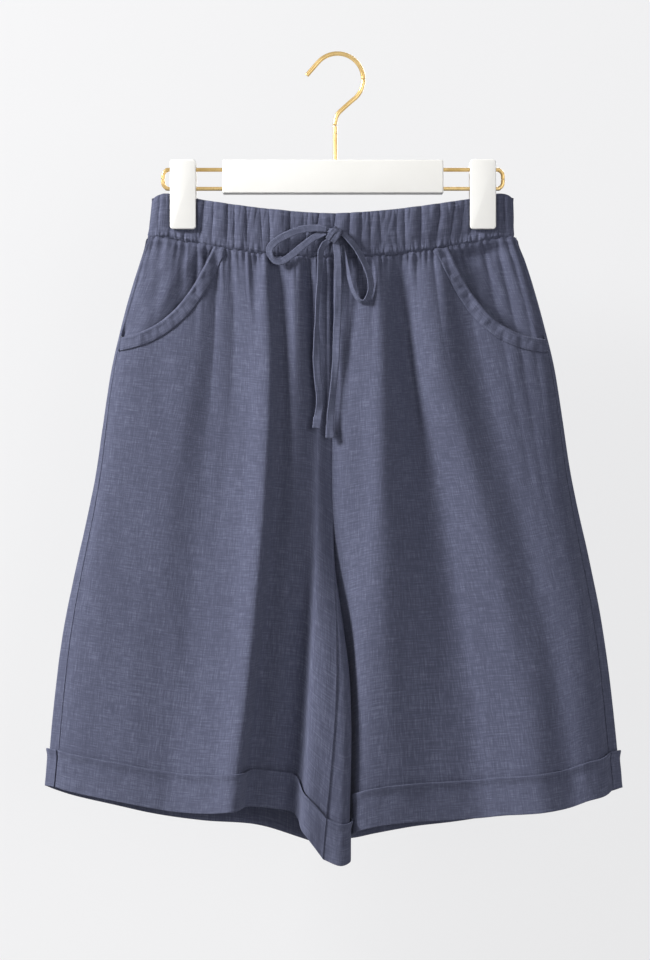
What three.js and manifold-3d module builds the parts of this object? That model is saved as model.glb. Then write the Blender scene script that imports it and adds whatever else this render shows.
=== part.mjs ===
// Wide linen shorts clipped by the waist to a bar hanger.
// Millimetres, +Z up. The origin is the inside top of the hook, where a rail carries it.
// -Y is the front, and -X is the wearer's right side.

import * as THREE from "three";
import { mergeVertices } from "three/addons/utils/BufferGeometryUtils.js";
import Module from "manifold-3d";

const wasm = await Module();
wasm.setup();

// ---- driving dimensions -------------------------------------------------

const SHIFT_X = -4.2;          // bar centre, seen from the hook's own centre

const HOOK_WIRE = 4.2;         // wire diameter of the hook
const HOOK_RADIUS = 24;        // centreline radius of the hook's arc
const HOOK = { tipAngle: 139, endAngle: -56, angleStep: 13, tipRun: 16, neck: [[9.5, -49], [4.2, -54.6]] };
const STEM = { x: 2, from: -62, into: 9 }; // straight run down into the bar
const RAIL_WIRE = 3.7;         // wire diameter of the clip rails
const BAR = { width: 205, height: 31, depth: 14, top: -97.5 };
const RAIL = { upper: -106, lower: -123.7, reach: 158, corner: 6, socket: 14 };
const CLIP = { centre: 139, width: 24, top: -97.5, bottom: -162, jaw: 4.6, gap: 10.6, round: 3 };
const GAP = 0.3;               // between neighbouring pieces

const CLOTH = 1.2;             // wall of one layer
const BAND_WALL = 2.6;         // folded casing with its elastic
const CUFF_WALL = 2;           // turned-up hem, two layers
const CUFF_HEIGHT = 34;
const LEG_LENGTH = 500;        // waist seam to hem, for the cuff's share of it
const BAND_BULGE = { middle: 16.5, side: 1.6 }; // how far the waistband stands out
const WAIST_TOP = { centre: -149, rise: 19.7, power: 1.6 };
const WAIST_SEAM = { centre: -189, rise: 19.5, power: 1.8 };
const WAIST_REACH = 152;       // past this half-width the waist edges run level
const WAIST_SIDE = { top: 170, seam: 172.5 };
const PLEATS = 23;             // main gathers round half of the waistband

// Lines that run down each panel from the waist seam to the hem, as x and y at five stages:
// seam, hip, crotch, mid leg and hem, with the height where each line ends.
const STAGE = [0, 0.21, 0.45, 0.72, 1];

const RIGHT_FRONT = [
  { name: "side seam", x: [-172, -201, -219.5, -247, -262], y: [-2.5, -3, -3.5, -4, -5], end: -679 },
  { name: "side round", x: [-166, -191, -208, -233, -247], y: [-6, -9, -10, -11, -12], end: -682 },
  { name: "outer ridge", x: [-124, -128, -156, -178, -196], y: [-7.5, -16, -17, -19, -22], end: -691 },
  { name: "outer trough", x: [-108, -109, -118, -132, -150], y: [-8.5, -13, -14.5, -18, -24], end: -699 },
  { name: "main rise", x: [-84, -79, -85, -98, -116], y: [-11, -19, -23, -28, -34], end: -700 },
  { name: "main ridge", x: [-60, -57, -63, -75, -91], y: [-14, -28, -34, -39, -43], end: -697 },
  { name: "main foot", x: [-50, -46.5, -52, -64, -80], y: [-11.5, -17, -18, -19, -21], end: -695 },
  { name: "middle ridge", x: [-38, -35, -37, -47, -57], y: [-14, -19, -18, -18, -18], end: -697 },
  { name: "inner trough", x: [-24, -19, -21, -28, -36], y: [-11, -13, -12, -12, -13], end: -702 },
  { name: "inner rise", x: [-13, -12, -13.5, -19, -26], y: [-10, -11, -14, -30, -37], end: -718 },
  { name: "inner edge", x: [-0.2, -0.2, -0.3, 3.2, -9.3], y: [-9, -9, -8, -33, -38], end: -741 },
];

const RIGHT_BACK = [
  { name: "inner edge", x: [-0.2, -0.2, -0.3, 4.8, -7.7], y: [15, 18, -4, -32.6, -37.8], end: -741 },
  { name: "inner front turn", x: [-4, -4, -1.5, 12, 7], y: [15.4, 18, -3.4, -30, -38], end: -747 },
  { name: "inner turn", x: [-12, -11, -4, 15.3, 14.5], y: [16, 18, -2.2, -22, -31], end: -744 },
  { name: "inner back turn", x: [-22, -22, -12, 6, 6], y: [16, 19, 2, -10, -17], end: -738 },
  { name: "seat trough", x: [-40, -42, -40, -32, -34], y: [17, 20, 13, 10, 4], end: -726 },
  { name: "seat ridge", x: [-62, -66, -68, -68, -72], y: [15, 24, 26, 27, 22], end: -718 },
  { name: "back trough", x: [-96, -102, -106, -112, -122], y: [13, 18, 21, 22, 21], end: -714 },
  { name: "back ridge", x: [-124, -132, -140, -152, -166], y: [8, 18, 22, 26, 28], end: -709 },
  { name: "back flank", x: [-146, -162, -174, -192, -206], y: [7.5, 13, 16, 18, 20], end: -699 },
  { name: "back round", x: [-165, -190, -207, -234, -247], y: [6, 9, 10, 11, 12], end: -688 },
  { name: "side turn", x: [-174, -203, -223, -251, -267], y: [1.5, 2, 2, 2, 2], end: -679 },
  { name: "side seam", x: [-172.8, -201.7, -220.2, -247.7, -262.7], y: [-2.1, -2.6, -3.1, -3.6, -4.6], end: -679 },
];

const LEFT_FRONT = [
  { name: "inner edge", x: [0.2, 0.2, 0.3, 6.2, 3.2], y: [-9, -9, -8, -0.8, 1], end: -727 },
  { name: "inner round", x: [9, 10, 9, 15, 14.5], y: [-11, -14, -14, -9, -13], end: -725 },
  { name: "centre ridge", x: [24, 25, 26, 24.5, 23], y: [-13, -20, -22, -26, -29], end: -717 },
  { name: "centre edge", x: [42, 44, 44.6, 46, 48], y: [-14, -26, -30, -30, -29], end: -711 },
  { name: "front trough", x: [64, 72, 92, 118, 136], y: [-9, -10, -9.5, -10, -12], end: -707 },
  { name: "leg rise", x: [79, 83, 106, 136, 156], y: [-12, -17, -15, -16, -18], end: -704 },
  { name: "leg ridge", x: [93, 104, 135, 170, 192], y: [-13, -24, -26, -27, -29], end: -700 },
  { name: "leg foot", x: [114, 130, 164, 200, 218], y: [-8.5, -13, -18, -20, -22], end: -696 },
  { name: "outer ridge", x: [140, 164, 190, 219, 235], y: [-6.5, -12.5, -18.5, -20.5, -22], end: -690 },
  { name: "side round", x: [166, 191, 208, 234, 248], y: [-6, -10, -12, -13, -14], end: -686 },
  { name: "side seam", x: [172, 201, 220.5, 248, 264], y: [-2.5, -3, -3.5, -4, -5], end: -681 },
];

const LEFT_BACK = [
  { name: "side seam", x: [172.8, 201.7, 221.2, 248.7, 264.7], y: [-2.1, -2.6, -3.1, -3.6, -4.6], end: -681 },
  { name: "side turn", x: [174, 203, 223.5, 252, 268], y: [1.5, 2, 2, 2, 2], end: -681 },
  { name: "back round", x: [165, 190, 207, 233, 247], y: [6, 9, 10, 11, 12], end: -689 },
  { name: "back flank", x: [146, 158, 172, 190, 203], y: [7.5, 15, 17, 20, 22], end: -700 },
  { name: "back ridge", x: [122, 128, 138, 150, 160], y: [8.5, 19, 24, 27, 29], end: -709 },
  { name: "back trough", x: [92, 98, 104, 110, 116], y: [13, 17, 20, 21, 22], end: -715 },
  { name: "seat ridge", x: [60, 66, 72, 74, 76], y: [16, 24, 27, 29, 30], end: -721 },
  { name: "seat trough", x: [40, 40, 40, 42, 42], y: [16.5, 20, 15, 20, 23], end: -726 },
  { name: "inner back turn", x: [22, 22, 14, 18, 18], y: [16, 19, 6, 13, 18], end: -730 },
  { name: "inner turn", x: [9, 9, 3, 7.6, 5.6], y: [15.5, 18, -2.5, 8, 11.5], end: -729 },
  { name: "inner edge", x: [0.2, 0.2, 0.3, 5, 2], y: [15, 18, -4, 2.2, 4.2], end: -727 },
];

// Scoop pockets, each opening edge as one curve of four points on the front, x then z.
const RIGHT_POCKET = [[-106.5, -171], [-127, -220], [-151, -264.5], [-214, -264.5]];
const LEFT_POCKET = [[104, -176], [126, -226], [150, -271], [214, -264.5]];
const POCKET_BAND = 11;        // sewn band round the opening
const POCKET_LAP = 9;          // how far the pocket's inner piece runs under the front

// Drawstring: flat tape of the shorts' own cloth, points chosen by hand.
const TAPE = { width: 7, thickness: 1.5 };
const KNOT = { x: 0.9, y: -23, z: -168.7, width: 12, height: 12, depth: 9 };
const RIGHT_LOOP = [
  [-5.8, -25, -164.4], [-12, -24, -163.2], [-19, -23, -162.9], [-29.4, -22, -164.1], [-39.3, -21.4, -167.5],
  [-49.4, -20.8, -172.5], [-56, -20.2, -177.9], [-58.7, -19.8, -183.3], [-57.1, -19.4, -188.8],
  [-53, -19, -192.6], [-47.5, -19, -193], [-41.7, -19.2, -189.9], [-33.9, -19.8, -183.8],
  [-26.2, -20.4, -177.5], [-18.6, -21, -171.9], [-11.5, -21.4, -168.6], [-6, -21.8, -167.4],
];
const LEFT_LOOP = [
  [8.9, -24, -168], [12.4, -23.6, -170.9], [16.2, -23.2, -174.8], [21.6, -22.8, -181.8], [27, -22.4, -191],
  [31.5, -22, -200.3], [34.2, -21.8, -209.5], [34.7, -21.6, -217.2], [33.1, -21.4, -224.2], [29.8, -21.2, -229.4],
  [26, -21.2, -230.2], [21.8, -21.4, -226.5], [17.9, -21.6, -218.8], [15.3, -21.4, -209.5], [13.2, -20.6, -200.3],
  [10.9, -19.6, -191], [9.2, -19.1, -183], [8, -19.1, -177.8],
];
const RIGHT_TAIL = [
  [-3.5, -21.6, -173.7], [-7.8, -20.8, -177.8], [-11, -20, -183.6], [-11.7, -19.6, -192], [-12, -19.4, -202],
  [-12.7, -19.2, -213.4], [-13.8, -19, -225], [-14.7, -18.8, -240], [-15.3, -18.6, -254], [-15, -18.4, -268],
  [-15.2, -18.2, -283], [-14.4, -18, -298], [-12.6, -18, -314], [-12.4, -18.2, -326], [-14, -18.8, -336],
  [-15.3, -19.4, -347],
];
const LEFT_TAIL = [
  [2.2, -22.6, -175], [3.3, -22.3, -180], [4.2, -21.8, -188], [4.6, -21, -200], [4.7, -20.2, -213],
  [4.6, -19.4, -226], [4.4, -19, -240], [3.6, -18.6, -255], [3, -18.4, -270], [2.6, -18.2, -284],
  [1.2, -18, -300], [-0.4, -17.8, -316], [-2, -17.8, -330], [-2.8, -18, -343], [-2.8, -18.4, -356],
];

// ---- materials ----------------------------------------------------------

const finish = {
  linen: new THREE.MeshStandardMaterial({ name: "linen", color: 0x5c6076, roughness: 0.92, metalness: 0 }),
  brass: new THREE.MeshStandardMaterial({ name: "brass", color: 0xb4965a, roughness: 0.3, metalness: 1 }),
  white: new THREE.MeshStandardMaterial({ name: "white", color: 0xf4f3ef, roughness: 0.45, metalness: 0 }),
};

const shorts = new THREE.Group();
shorts.position.x = SHIFT_X;

function addPiece(name, geometry, material) {
  const mesh = new THREE.Mesh(geometry, material);
  mesh.name = name;
  shorts.add(mesh);
  return mesh;
}

// ---- solids -------------------------------------------------------------

function bareMerged(geometry) {
  const bare = geometry.clone();
  bare.deleteAttribute("normal");
  bare.deleteAttribute("uv");
  return mergeVertices(bare, 1e-3);
}

function toSolid(geometry) {
  const merged = bareMerged(geometry);
  const vertProperties = new Float32Array(merged.attributes.position.array);
  const triVerts = new Uint32Array(merged.index.array);
  return new wasm.Manifold(new wasm.Mesh({ numProp: 3, vertProperties, triVerts }));
}

function toGeometry(solid) {
  const mesh = solid.getMesh();
  const geometry = new THREE.BufferGeometry();
  geometry.setAttribute("position", new THREE.BufferAttribute(new Float32Array(mesh.vertProperties), 3));
  geometry.setIndex(new THREE.BufferAttribute(new Uint32Array(mesh.triVerts), 1));
  geometry.computeVertexNormals();
  return geometry;
}

// A closed wall between two equal grids of points, the first one outside.
function wallBetween(outer, inner) {
  const rows = outer.length;
  const columns = outer[0].length;
  const points = [];
  const faces = [];
  for (const grid of [outer, inner]) {
    for (const row of grid) {
      for (const point of row) {
        points.push(point.x, point.y, point.z);
      }
    }
  }
  const at = (layer, row, column) => layer * rows * columns + row * columns + column;
  const quad = (a, b, c, d) => faces.push(a, b, c, a, c, d);
  for (let row = 0; row < rows - 1; row += 1) {
    for (let column = 0; column < columns - 1; column += 1) {
      quad(at(0, row, column), at(0, row + 1, column), at(0, row + 1, column + 1), at(0, row, column + 1));
      quad(at(1, row, column), at(1, row, column + 1), at(1, row + 1, column + 1), at(1, row + 1, column));
    }
  }
  for (let row = 0; row < rows - 1; row += 1) {
    const last = columns - 1;
    quad(at(0, row, 0), at(1, row, 0), at(1, row + 1, 0), at(0, row + 1, 0));
    quad(at(0, row, last), at(0, row + 1, last), at(1, row + 1, last), at(1, row, last));
  }
  for (let column = 0; column < columns - 1; column += 1) {
    const last = rows - 1;
    quad(at(0, 0, column), at(0, 0, column + 1), at(1, 0, column + 1), at(1, 0, column));
    quad(at(0, last, column), at(1, last, column), at(1, last, column + 1), at(0, last, column + 1));
  }
  const geometry = new THREE.BufferGeometry();
  geometry.setAttribute("position", new THREE.Float32BufferAttribute(points, 3));
  geometry.setIndex(faces);
  geometry.computeVertexNormals();
  return geometry;
}

// ---- cloth surfaces -----------------------------------------------------

function waistHeight(edge, x) {
  const reach = Math.min(1, Math.abs(x) / WAIST_REACH);
  return edge.centre + edge.rise * reach ** edge.power;
}

function stageValue(values, v) {
  let index = 0;
  while (index < STAGE.length - 2 && v > STAGE[index + 1]) {
    index += 1;
  }
  const slope = (i) => {
    const low = Math.max(0, i - 1);
    const high = Math.min(STAGE.length - 1, i + 1);
    return (values[high] - values[low]) / (STAGE[high] - STAGE[low]);
  };
  const span = STAGE[index + 1] - STAGE[index];
  const t = (v - STAGE[index]) / span;
  const a = values[index];
  const b = values[index + 1];
  const ta = slope(index) * span;
  const tb = slope(index + 1) * span;
  return (2 * t ** 3 - 3 * t ** 2 + 1) * a + (t ** 3 - 2 * t ** 2 + t) * ta
    + (3 * t ** 2 - 2 * t ** 3) * b + (t ** 3 - t ** 2) * tb;
}

// The lines' points at one stage, joined across the panel by a smooth curve.
function crossSection(lines, v) {
  const points = lines.map((line) => {
    const top = waistHeight(WAIST_SEAM, line.x[0]) - GAP;
    return new THREE.Vector3(stageValue(line.x, v), stageValue(line.y, v), top + (line.end - top) * v);
  });
  return new THREE.CatmullRomCurve3(points, false, "centripetal");
}

function surfaceGrid(lines, stages, perLine) {
  const columns = (lines.length - 1) * perLine;
  return stages.map((v) => {
    const curve = crossSection(lines, v);
    const row = [];
    for (let column = 0; column <= columns; column += 1) {
      row.push(curve.getPoint(column / columns));
    }
    return row;
  });
}

// The grid moved out of the cloth, along the surface's own normals.
function moved(grid, distance) {
  const rows = grid.length;
  const columns = grid[0].length;
  return grid.map((row, i) => row.map((point, j) => {
    const across = new THREE.Vector3().subVectors(row[Math.min(columns - 1, j + 1)], row[Math.max(0, j - 1)]);
    const down = new THREE.Vector3().subVectors(grid[Math.min(rows - 1, i + 1)][j], grid[Math.max(0, i - 1)][j]);
    const normal = new THREE.Vector3().crossVectors(down, across).normalize();
    return point.clone().addScaledVector(normal, distance);
  }));
}

function evenStages(from, to, count) {
  return Array.from({ length: count + 1 }, (_, index) => from + ((to - from) * index) / count);
}

const PANEL_STAGES = evenStages(0, 1, 13);
const PER_LINE = 2;

function panelWall(lines, outside, inside) {
  const grid = surfaceGrid(lines, PANEL_STAGES, PER_LINE);
  return wallBetween(moved(grid, outside), moved(grid, inside));
}

// A turned-up hem round the foot of a panel, on the panel's own points.
function cuffWall(lines) {
  const grid = surfaceGrid(lines, evenStages(1 - CUFF_HEIGHT / LEG_LENGTH, 1, 2), PER_LINE);
  return wallBetween(moved(grid, GAP + CUFF_WALL), moved(grid, GAP));
}

// ---- pockets ------------------------------------------------------------

function scoopCurve(corners) {
  const [a, b, c, d] = corners.map(([x, z]) => new THREE.Vector2(x, z));
  return new THREE.CubicBezierCurve(a, b, c, d);
}

// The area above and outside the opening edge, grown by a margin, as a block along Y.
function scoopBlock(corners, margin) {
  const curve = scoopCurve(corners);
  const steps = 12;
  const side = Math.sign(corners[3][0]);
  const edge = [];
  for (let step = 0; step <= steps; step += 1) {
    const point = curve.getPoint(step / steps);
    const tangent = curve.getTangent(step / steps);
    edge.push(new THREE.Vector2(point.x + tangent.y * margin * side, point.y - tangent.x * margin * side));
  }
  const first = edge[0];
  const last = edge[steps];
  const outline = new THREE.Shape();
  outline.moveTo(first.x - side * margin * 0.4, first.y + 40);
  for (const point of edge) {
    outline.lineTo(point.x, point.y);
  }
  outline.lineTo(last.x, first.y + 40);
  const block = new THREE.ExtrudeGeometry(outline, { depth: 70, bevelEnabled: false });
  block.rotateX(Math.PI / 2);
  block.translate(0, 1, 0);
  return toSolid(block);
}

function frontWithPocket(side, lines, corners) {
  const hole = scoopBlock(corners, 0);
  const grown = scoopBlock(corners, POCKET_BAND);
  const lapped = scoopBlock(corners, POCKET_LAP);
  const front = toSolid(panelWall(lines, 0, -CLOTH)).subtract(hole);
  const inner = toSolid(panelWall(lines, -CLOTH - GAP, -2 * CLOTH - GAP)).intersect(lapped);
  const bandWall = toSolid(panelWall(lines, CLOTH + GAP, GAP));
  const band = bandWall.intersect(grown).subtract(hole);
  addPiece(`front_panel_${side}`, toGeometry(front), finish.linen);
  addPiece(`pocket_yoke_${side}`, toGeometry(inner), finish.linen);
  addPiece(`pocket_binding_${side}`, toGeometry(band), finish.linen);
}

// ---- waistband ----------------------------------------------------------

function bandDepth(x) {
  const reach = Math.abs(x);
  const pinch = CLIP.centre - CLIP.width / 2 - 2;
  const flat = CLIP.gap / 2 - GAP - 0.2;
  if (reach < pinch) {
    const fall = Math.cos((reach / pinch) * Math.PI) * 0.5 + 0.5;
    return flat + (BAND_BULGE.middle - flat) * fall ** 0.55;
  }
  const end = CLIP.centre + CLIP.width / 2 + 2;
  if (reach < end) {
    return flat;
  }
  return flat + BAND_BULGE.side * Math.sin(Math.PI * Math.min(1, (reach - end) / 22));
}

// Irregular gathers: each has its own width, and its depth and slant vary along the band.
function gather(index, salt) {
  const value = Math.sin(index * 12.9898 + salt * 78.233) * 43758.5453;
  return value - Math.floor(value);
}

function bandColumns(salt) {
  const columns = [];
  const weights = Array.from({ length: PLEATS }, (_, index) => 0.6 + 0.8 * gather(index, salt));
  const total = weights.reduce((sum, weight) => sum + weight, 0);
  let start = -1;
  weights.forEach((weight, index) => {
    const width = (2 * weight) / total;
    const slant = 0.35 * (gather(index, salt + 1) - 0.5) * width;
    const lift = 0.6 + 0.9 * gather(index, salt + 2);
    columns.push({ at: start, slant: 0, lift: 0 });
    columns.push({ at: start + width * 0.3, slant, lift });
    columns.push({ at: start + width * 0.75, slant, lift: lift * 0.9 });
    start += width;
  });
  columns.push({ at: 1, slant: 0, lift: 0 });
  return columns;
}

function bandWall(sign, salt) {
  const columns = bandColumns(salt);
  const levels = [0, 0.3, 0.7, 1];
  const outer = [];
  const inner = [];
  for (const level of levels) {
    const side = WAIST_SIDE.top + (WAIST_SIDE.seam - WAIST_SIDE.top) * level;
    const outerRow = [];
    const innerRow = [];
    for (const { at, slant, lift } of columns) {
      const bend = Math.max(-1, Math.min(1, at + slant * (level - 0.5)));
      const x = side * bend;
      const top = waistHeight(WAIST_TOP, x) - cornerDrop(x);
      const z = top + (waistHeight(WAIST_SEAM, x) - top) * level;
      const near = Math.abs(Math.abs(x) - CLIP.centre) < CLIP.width / 2 + 4;
      const swell = near ? 0 : lift * (0.75 + 0.25 * Math.sin(Math.PI * level));
      const centre = bandDepth(x);
      const closing = Math.sqrt(Math.max(0, 1 - (Math.abs(x) / side) ** 12));
      const y = sign * (Math.max(centre * closing, 0) + swell * closing + GAP / 2);
      outerRow.push(new THREE.Vector3(x, y, z));
      const inside = Math.max(Math.abs(y) - BAND_WALL, GAP / 2);
      const pull = Math.abs(x) > side - BAND_WALL ? (side - BAND_WALL) / Math.abs(x) : 1;
      innerRow.push(new THREE.Vector3(x * pull, sign * Math.min(inside, Math.abs(y)), z));
    }
    outer.push(outerRow);
    inner.push(innerRow);
  }
  if (sign > 0) {
    outer.forEach((row) => row.reverse());
    inner.forEach((row) => row.reverse());
  }
  return wallBetween(outer, inner);
}

function cornerDrop(x) {
  const past = Math.max(0, Math.abs(x) - 160);
  return 0.05 * past ** 2;
}

// ---- drawstring ---------------------------------------------------------

// A flat tape along its points: width lies along the front, thickness faces it.
function tapeWall(points) {
  const path = new THREE.CatmullRomCurve3(points.map(([x, y, z]) => new THREE.Vector3(x, y, z)));
  const steps = Math.round((points.length - 1) * 1.6);
  const outer = [];
  const inner = [];
  for (let step = 0; step <= steps; step += 1) {
    const centre = path.getPoint(step / steps);
    const along = path.getTangent(step / steps);
    const across = new THREE.Vector3().crossVectors(along, new THREE.Vector3(0, 1, 0)).normalize();
    const out = new THREE.Vector3().crossVectors(across, along).normalize();
    const rowOut = [];
    const rowIn = [];
    for (const side of [1, 0, -1]) {
      const half = (TAPE.thickness / 2) * (side === 0 ? 1 : 0.6);
      const base = centre.clone().addScaledVector(across, (side * TAPE.width) / 2);
      rowOut.push(base.clone().addScaledVector(out, half));
      rowIn.push(base.clone().addScaledVector(out, -half));
    }
    outer.push(rowOut);
    inner.push(rowIn);
  }
  return wallBetween(outer, inner);
}

function knotSolid() {
  const ball = new THREE.SphereGeometry(0.5, 14, 10);
  ball.scale(KNOT.width, KNOT.depth, KNOT.height);
  ball.translate(KNOT.x, KNOT.y, KNOT.z);
  return toSolid(ball);
}

// ---- hanger -------------------------------------------------------------

function roundWire(path, diameter, steps, sides = 12) {
  const section = new THREE.Shape();
  for (let side = 0; side < sides; side += 1) {
    const angle = (side / sides) * 2 * Math.PI;
    const x = (Math.cos(angle) * diameter) / 2;
    const y = (Math.sin(angle) * diameter) / 2;
    if (side === 0) {
      section.moveTo(x, y);
    } else {
      section.lineTo(x, y);
    }
  }
  section.closePath();
  return new THREE.ExtrudeGeometry(section, { steps, extrudePath: path, bevelEnabled: false });
}

function hookWire() {
  const centre = new THREE.Vector3(-SHIFT_X, 0, -HOOK_RADIUS + HOOK_WIRE / 2);
  const points = [];
  const onArc = (degrees) => {
    const angle = THREE.MathUtils.degToRad(degrees);
    return new THREE.Vector3(centre.x + HOOK_RADIUS * Math.cos(angle), 0, centre.z + HOOK_RADIUS * Math.sin(angle));
  };
  const start = onArc(HOOK.tipAngle);
  const tip = THREE.MathUtils.degToRad(HOOK.tipAngle);
  const tipWay = new THREE.Vector3(-Math.sin(tip), 0, Math.cos(tip));
  points.push(start.clone().addScaledVector(tipWay, HOOK.tipRun));
  points.push(start.clone().addScaledVector(tipWay, HOOK.tipRun / 2));
  for (let degrees = HOOK.tipAngle; degrees >= HOOK.endAngle; degrees -= HOOK.angleStep) {
    points.push(onArc(degrees));
  }
  for (const [x, z] of HOOK.neck) {
    points.push(new THREE.Vector3(x, 0, z));
  }
  for (const height of [STEM.from, STEM.from - 10, STEM.from - 23, BAR.top - STEM.into]) {
    points.push(new THREE.Vector3(STEM.x, 0, height));
  }
  return roundWire(new THREE.CatmullRomCurve3(points, false, "centripetal"), HOOK_WIRE, 40, 10);
}

function railWire(side) {
  const inner = BAR.width / 2 - RAIL.socket;
  const { reach, corner, upper, lower } = RAIL;
  const at = (x, z) => new THREE.Vector3(side * x, 0, z);
  const points = [at(inner, upper), at(inner + 20, upper), at((inner + reach) / 2, upper), at(reach - corner, upper)];
  const turns = 4;
  for (let turn = 1; turn <= turns; turn += 1) {
    const angle = ((turn / turns) * Math.PI) / 2;
    points.push(at(reach - corner + corner * Math.sin(angle), upper - corner + corner * Math.cos(angle)));
  }
  for (let turn = 0; turn <= turns; turn += 1) {
    const angle = ((turn / turns) * Math.PI) / 2;
    points.push(at(reach - corner + corner * Math.cos(angle), lower + corner - corner * Math.sin(angle)));
  }
  points.push(at((inner + reach) / 2, lower), at(inner + 20, lower), at(inner, lower));
  return roundWire(new THREE.CatmullRomCurve3(points, false, "centripetal"), RAIL_WIRE, 32, 8);
}

function roundHole(radius, from, to) {
  const length = from.distanceTo(to);
  const hole = new THREE.CylinderGeometry(radius, radius, length, 16);
  hole.applyQuaternion(new THREE.Quaternion().setFromUnitVectors(
    new THREE.Vector3(0, 1, 0),
    new THREE.Vector3().subVectors(to, from).normalize(),
  ));
  const middle = new THREE.Vector3().addVectors(from, to).multiplyScalar(0.5);
  hole.translate(middle.x, middle.y, middle.z);
  return toSolid(hole);
}

function softBlock(width, depth, height, round, x, y, z) {
  const outline = new THREE.Shape();
  const w = width / 2;
  const h = height / 2;
  outline.moveTo(-w + round, -h);
  outline.lineTo(w - round, -h);
  outline.absarc(w - round, -h + round, round, -Math.PI / 2, 0);
  outline.lineTo(w, h - round);
  outline.absarc(w - round, h - round, round, 0, Math.PI / 2);
  outline.lineTo(-w + round, h);
  outline.absarc(-w + round, h - round, round, Math.PI / 2, Math.PI);
  outline.lineTo(-w, -h + round);
  outline.absarc(-w + round, -h + round, round, Math.PI, 1.5 * Math.PI);
  const block = new THREE.ExtrudeGeometry(outline, { depth, bevelEnabled: false, curveSegments: 4 });
  block.rotateX(Math.PI / 2);
  block.translate(x, y + depth / 2, z);
  return block;
}

function hangerBar() {
  const z = BAR.top - BAR.height / 2;
  let bar = toSolid(softBlock(BAR.width, BAR.depth, BAR.height, 1.2, 0, 0, z));
  const stem = new THREE.Vector3(STEM.x, 0, BAR.top + 1);
  const foot = new THREE.Vector3(STEM.x, 0, BAR.top - STEM.into - GAP);
  bar = bar.subtract(roundHole(HOOK_WIRE / 2 + GAP, stem, foot));
  for (const side of [-1, 1]) {
    for (const height of [RAIL.upper, RAIL.lower]) {
      const outside = new THREE.Vector3(side * (BAR.width / 2 + 1), 0, height);
      const inside = new THREE.Vector3(side * (BAR.width / 2 - RAIL.socket - GAP), 0, height);
      bar = bar.subtract(roundHole(RAIL_WIRE / 2 + GAP, outside, inside));
    }
  }
  return toGeometry(bar);
}

function addClip(side, name) {
  const middle = (CLIP.top + CLIP.bottom) / 2;
  const height = CLIP.top - CLIP.bottom;
  const x = side * CLIP.centre;
  const away = CLIP.gap / 2 + CLIP.jaw / 2;
  const front = softBlock(CLIP.width, CLIP.jaw, height, CLIP.round, x, -away, middle);
  const rear = softBlock(CLIP.width, CLIP.jaw, height - 8, CLIP.round, x, away, middle + 4);
  const top = RAIL.upper + 6;
  const bottom = RAIL.lower - 4;
  const depth = CLIP.gap - 2 * GAP;
  let slider = toSolid(softBlock(CLIP.width - 4, depth, top - bottom, 1, x, 0, (top + bottom) / 2));
  for (const level of [RAIL.upper, RAIL.lower]) {
    const from = new THREE.Vector3(x - CLIP.width, 0, level);
    const to = new THREE.Vector3(x + CLIP.width, 0, level);
    slider = slider.subtract(roundHole(RAIL_WIRE / 2 + GAP, from, to));
  }
  addPiece(`clip_front_${name}`, front, finish.white);
  addPiece(`clip_rear_${name}`, rear, finish.white);
  addPiece(`clip_slider_${name}`, toGeometry(slider), finish.white);
}

// ---- assembly -----------------------------------------------------------

addPiece("hanger_hook", hookWire(), finish.brass);
addPiece("hanger_bar", hangerBar(), finish.white);
addPiece("rail_right", railWire(-1), finish.brass);
addPiece("rail_left", railWire(1), finish.brass);
addClip(-1, "right");
addClip(1, "left");

addPiece("waistband_front", bandWall(-1, 1), finish.linen);
addPiece("waistband_back", bandWall(1, 5), finish.linen);

frontWithPocket("right", RIGHT_FRONT, RIGHT_POCKET);
frontWithPocket("left", LEFT_FRONT, LEFT_POCKET);
addPiece("back_panel_right", panelWall(RIGHT_BACK, 0, -CLOTH), finish.linen);
addPiece("back_panel_left", panelWall(LEFT_BACK, 0, -CLOTH), finish.linen);
addPiece("cuff_front_right", cuffWall(RIGHT_FRONT), finish.linen);
addPiece("cuff_front_left", cuffWall(LEFT_FRONT), finish.linen);
addPiece("cuff_back_right", cuffWall(RIGHT_BACK), finish.linen);
addPiece("cuff_back_left", cuffWall(LEFT_BACK), finish.linen);

addPiece("tie_knot", toGeometry(knotSolid()), finish.linen);
addPiece("tie_loop_right", tapeWall(RIGHT_LOOP), finish.linen);
addPiece("tie_loop_left", tapeWall(LEFT_LOOP), finish.linen);
addPiece("tie_tail_right", tapeWall(RIGHT_TAIL), finish.linen);
addPiece("tie_tail_left", tapeWall(LEFT_TAIL), finish.linen);

export default shorts;
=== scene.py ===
import math

import bpy
import numpy as np
from mathutils import Matrix, Vector
from mathutils.bvhtree import BVHTree


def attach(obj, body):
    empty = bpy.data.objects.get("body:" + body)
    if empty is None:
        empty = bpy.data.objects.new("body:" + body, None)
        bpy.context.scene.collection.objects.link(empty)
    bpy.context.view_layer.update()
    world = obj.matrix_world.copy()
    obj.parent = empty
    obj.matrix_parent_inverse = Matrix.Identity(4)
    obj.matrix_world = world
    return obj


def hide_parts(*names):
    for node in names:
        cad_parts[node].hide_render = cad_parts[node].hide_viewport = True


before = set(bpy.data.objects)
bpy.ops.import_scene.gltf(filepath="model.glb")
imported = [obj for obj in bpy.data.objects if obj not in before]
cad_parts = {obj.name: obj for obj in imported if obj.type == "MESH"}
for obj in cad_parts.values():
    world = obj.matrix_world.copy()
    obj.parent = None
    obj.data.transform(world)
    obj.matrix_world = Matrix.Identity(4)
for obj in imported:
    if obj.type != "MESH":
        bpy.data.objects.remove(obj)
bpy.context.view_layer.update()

mm = 0.001
shiftX = -4.2  # bar centre, seen from the hook's centre, in millimetres
bpy.ops.object.select_all(action="DESELECT")


# camera: level and straight on

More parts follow.
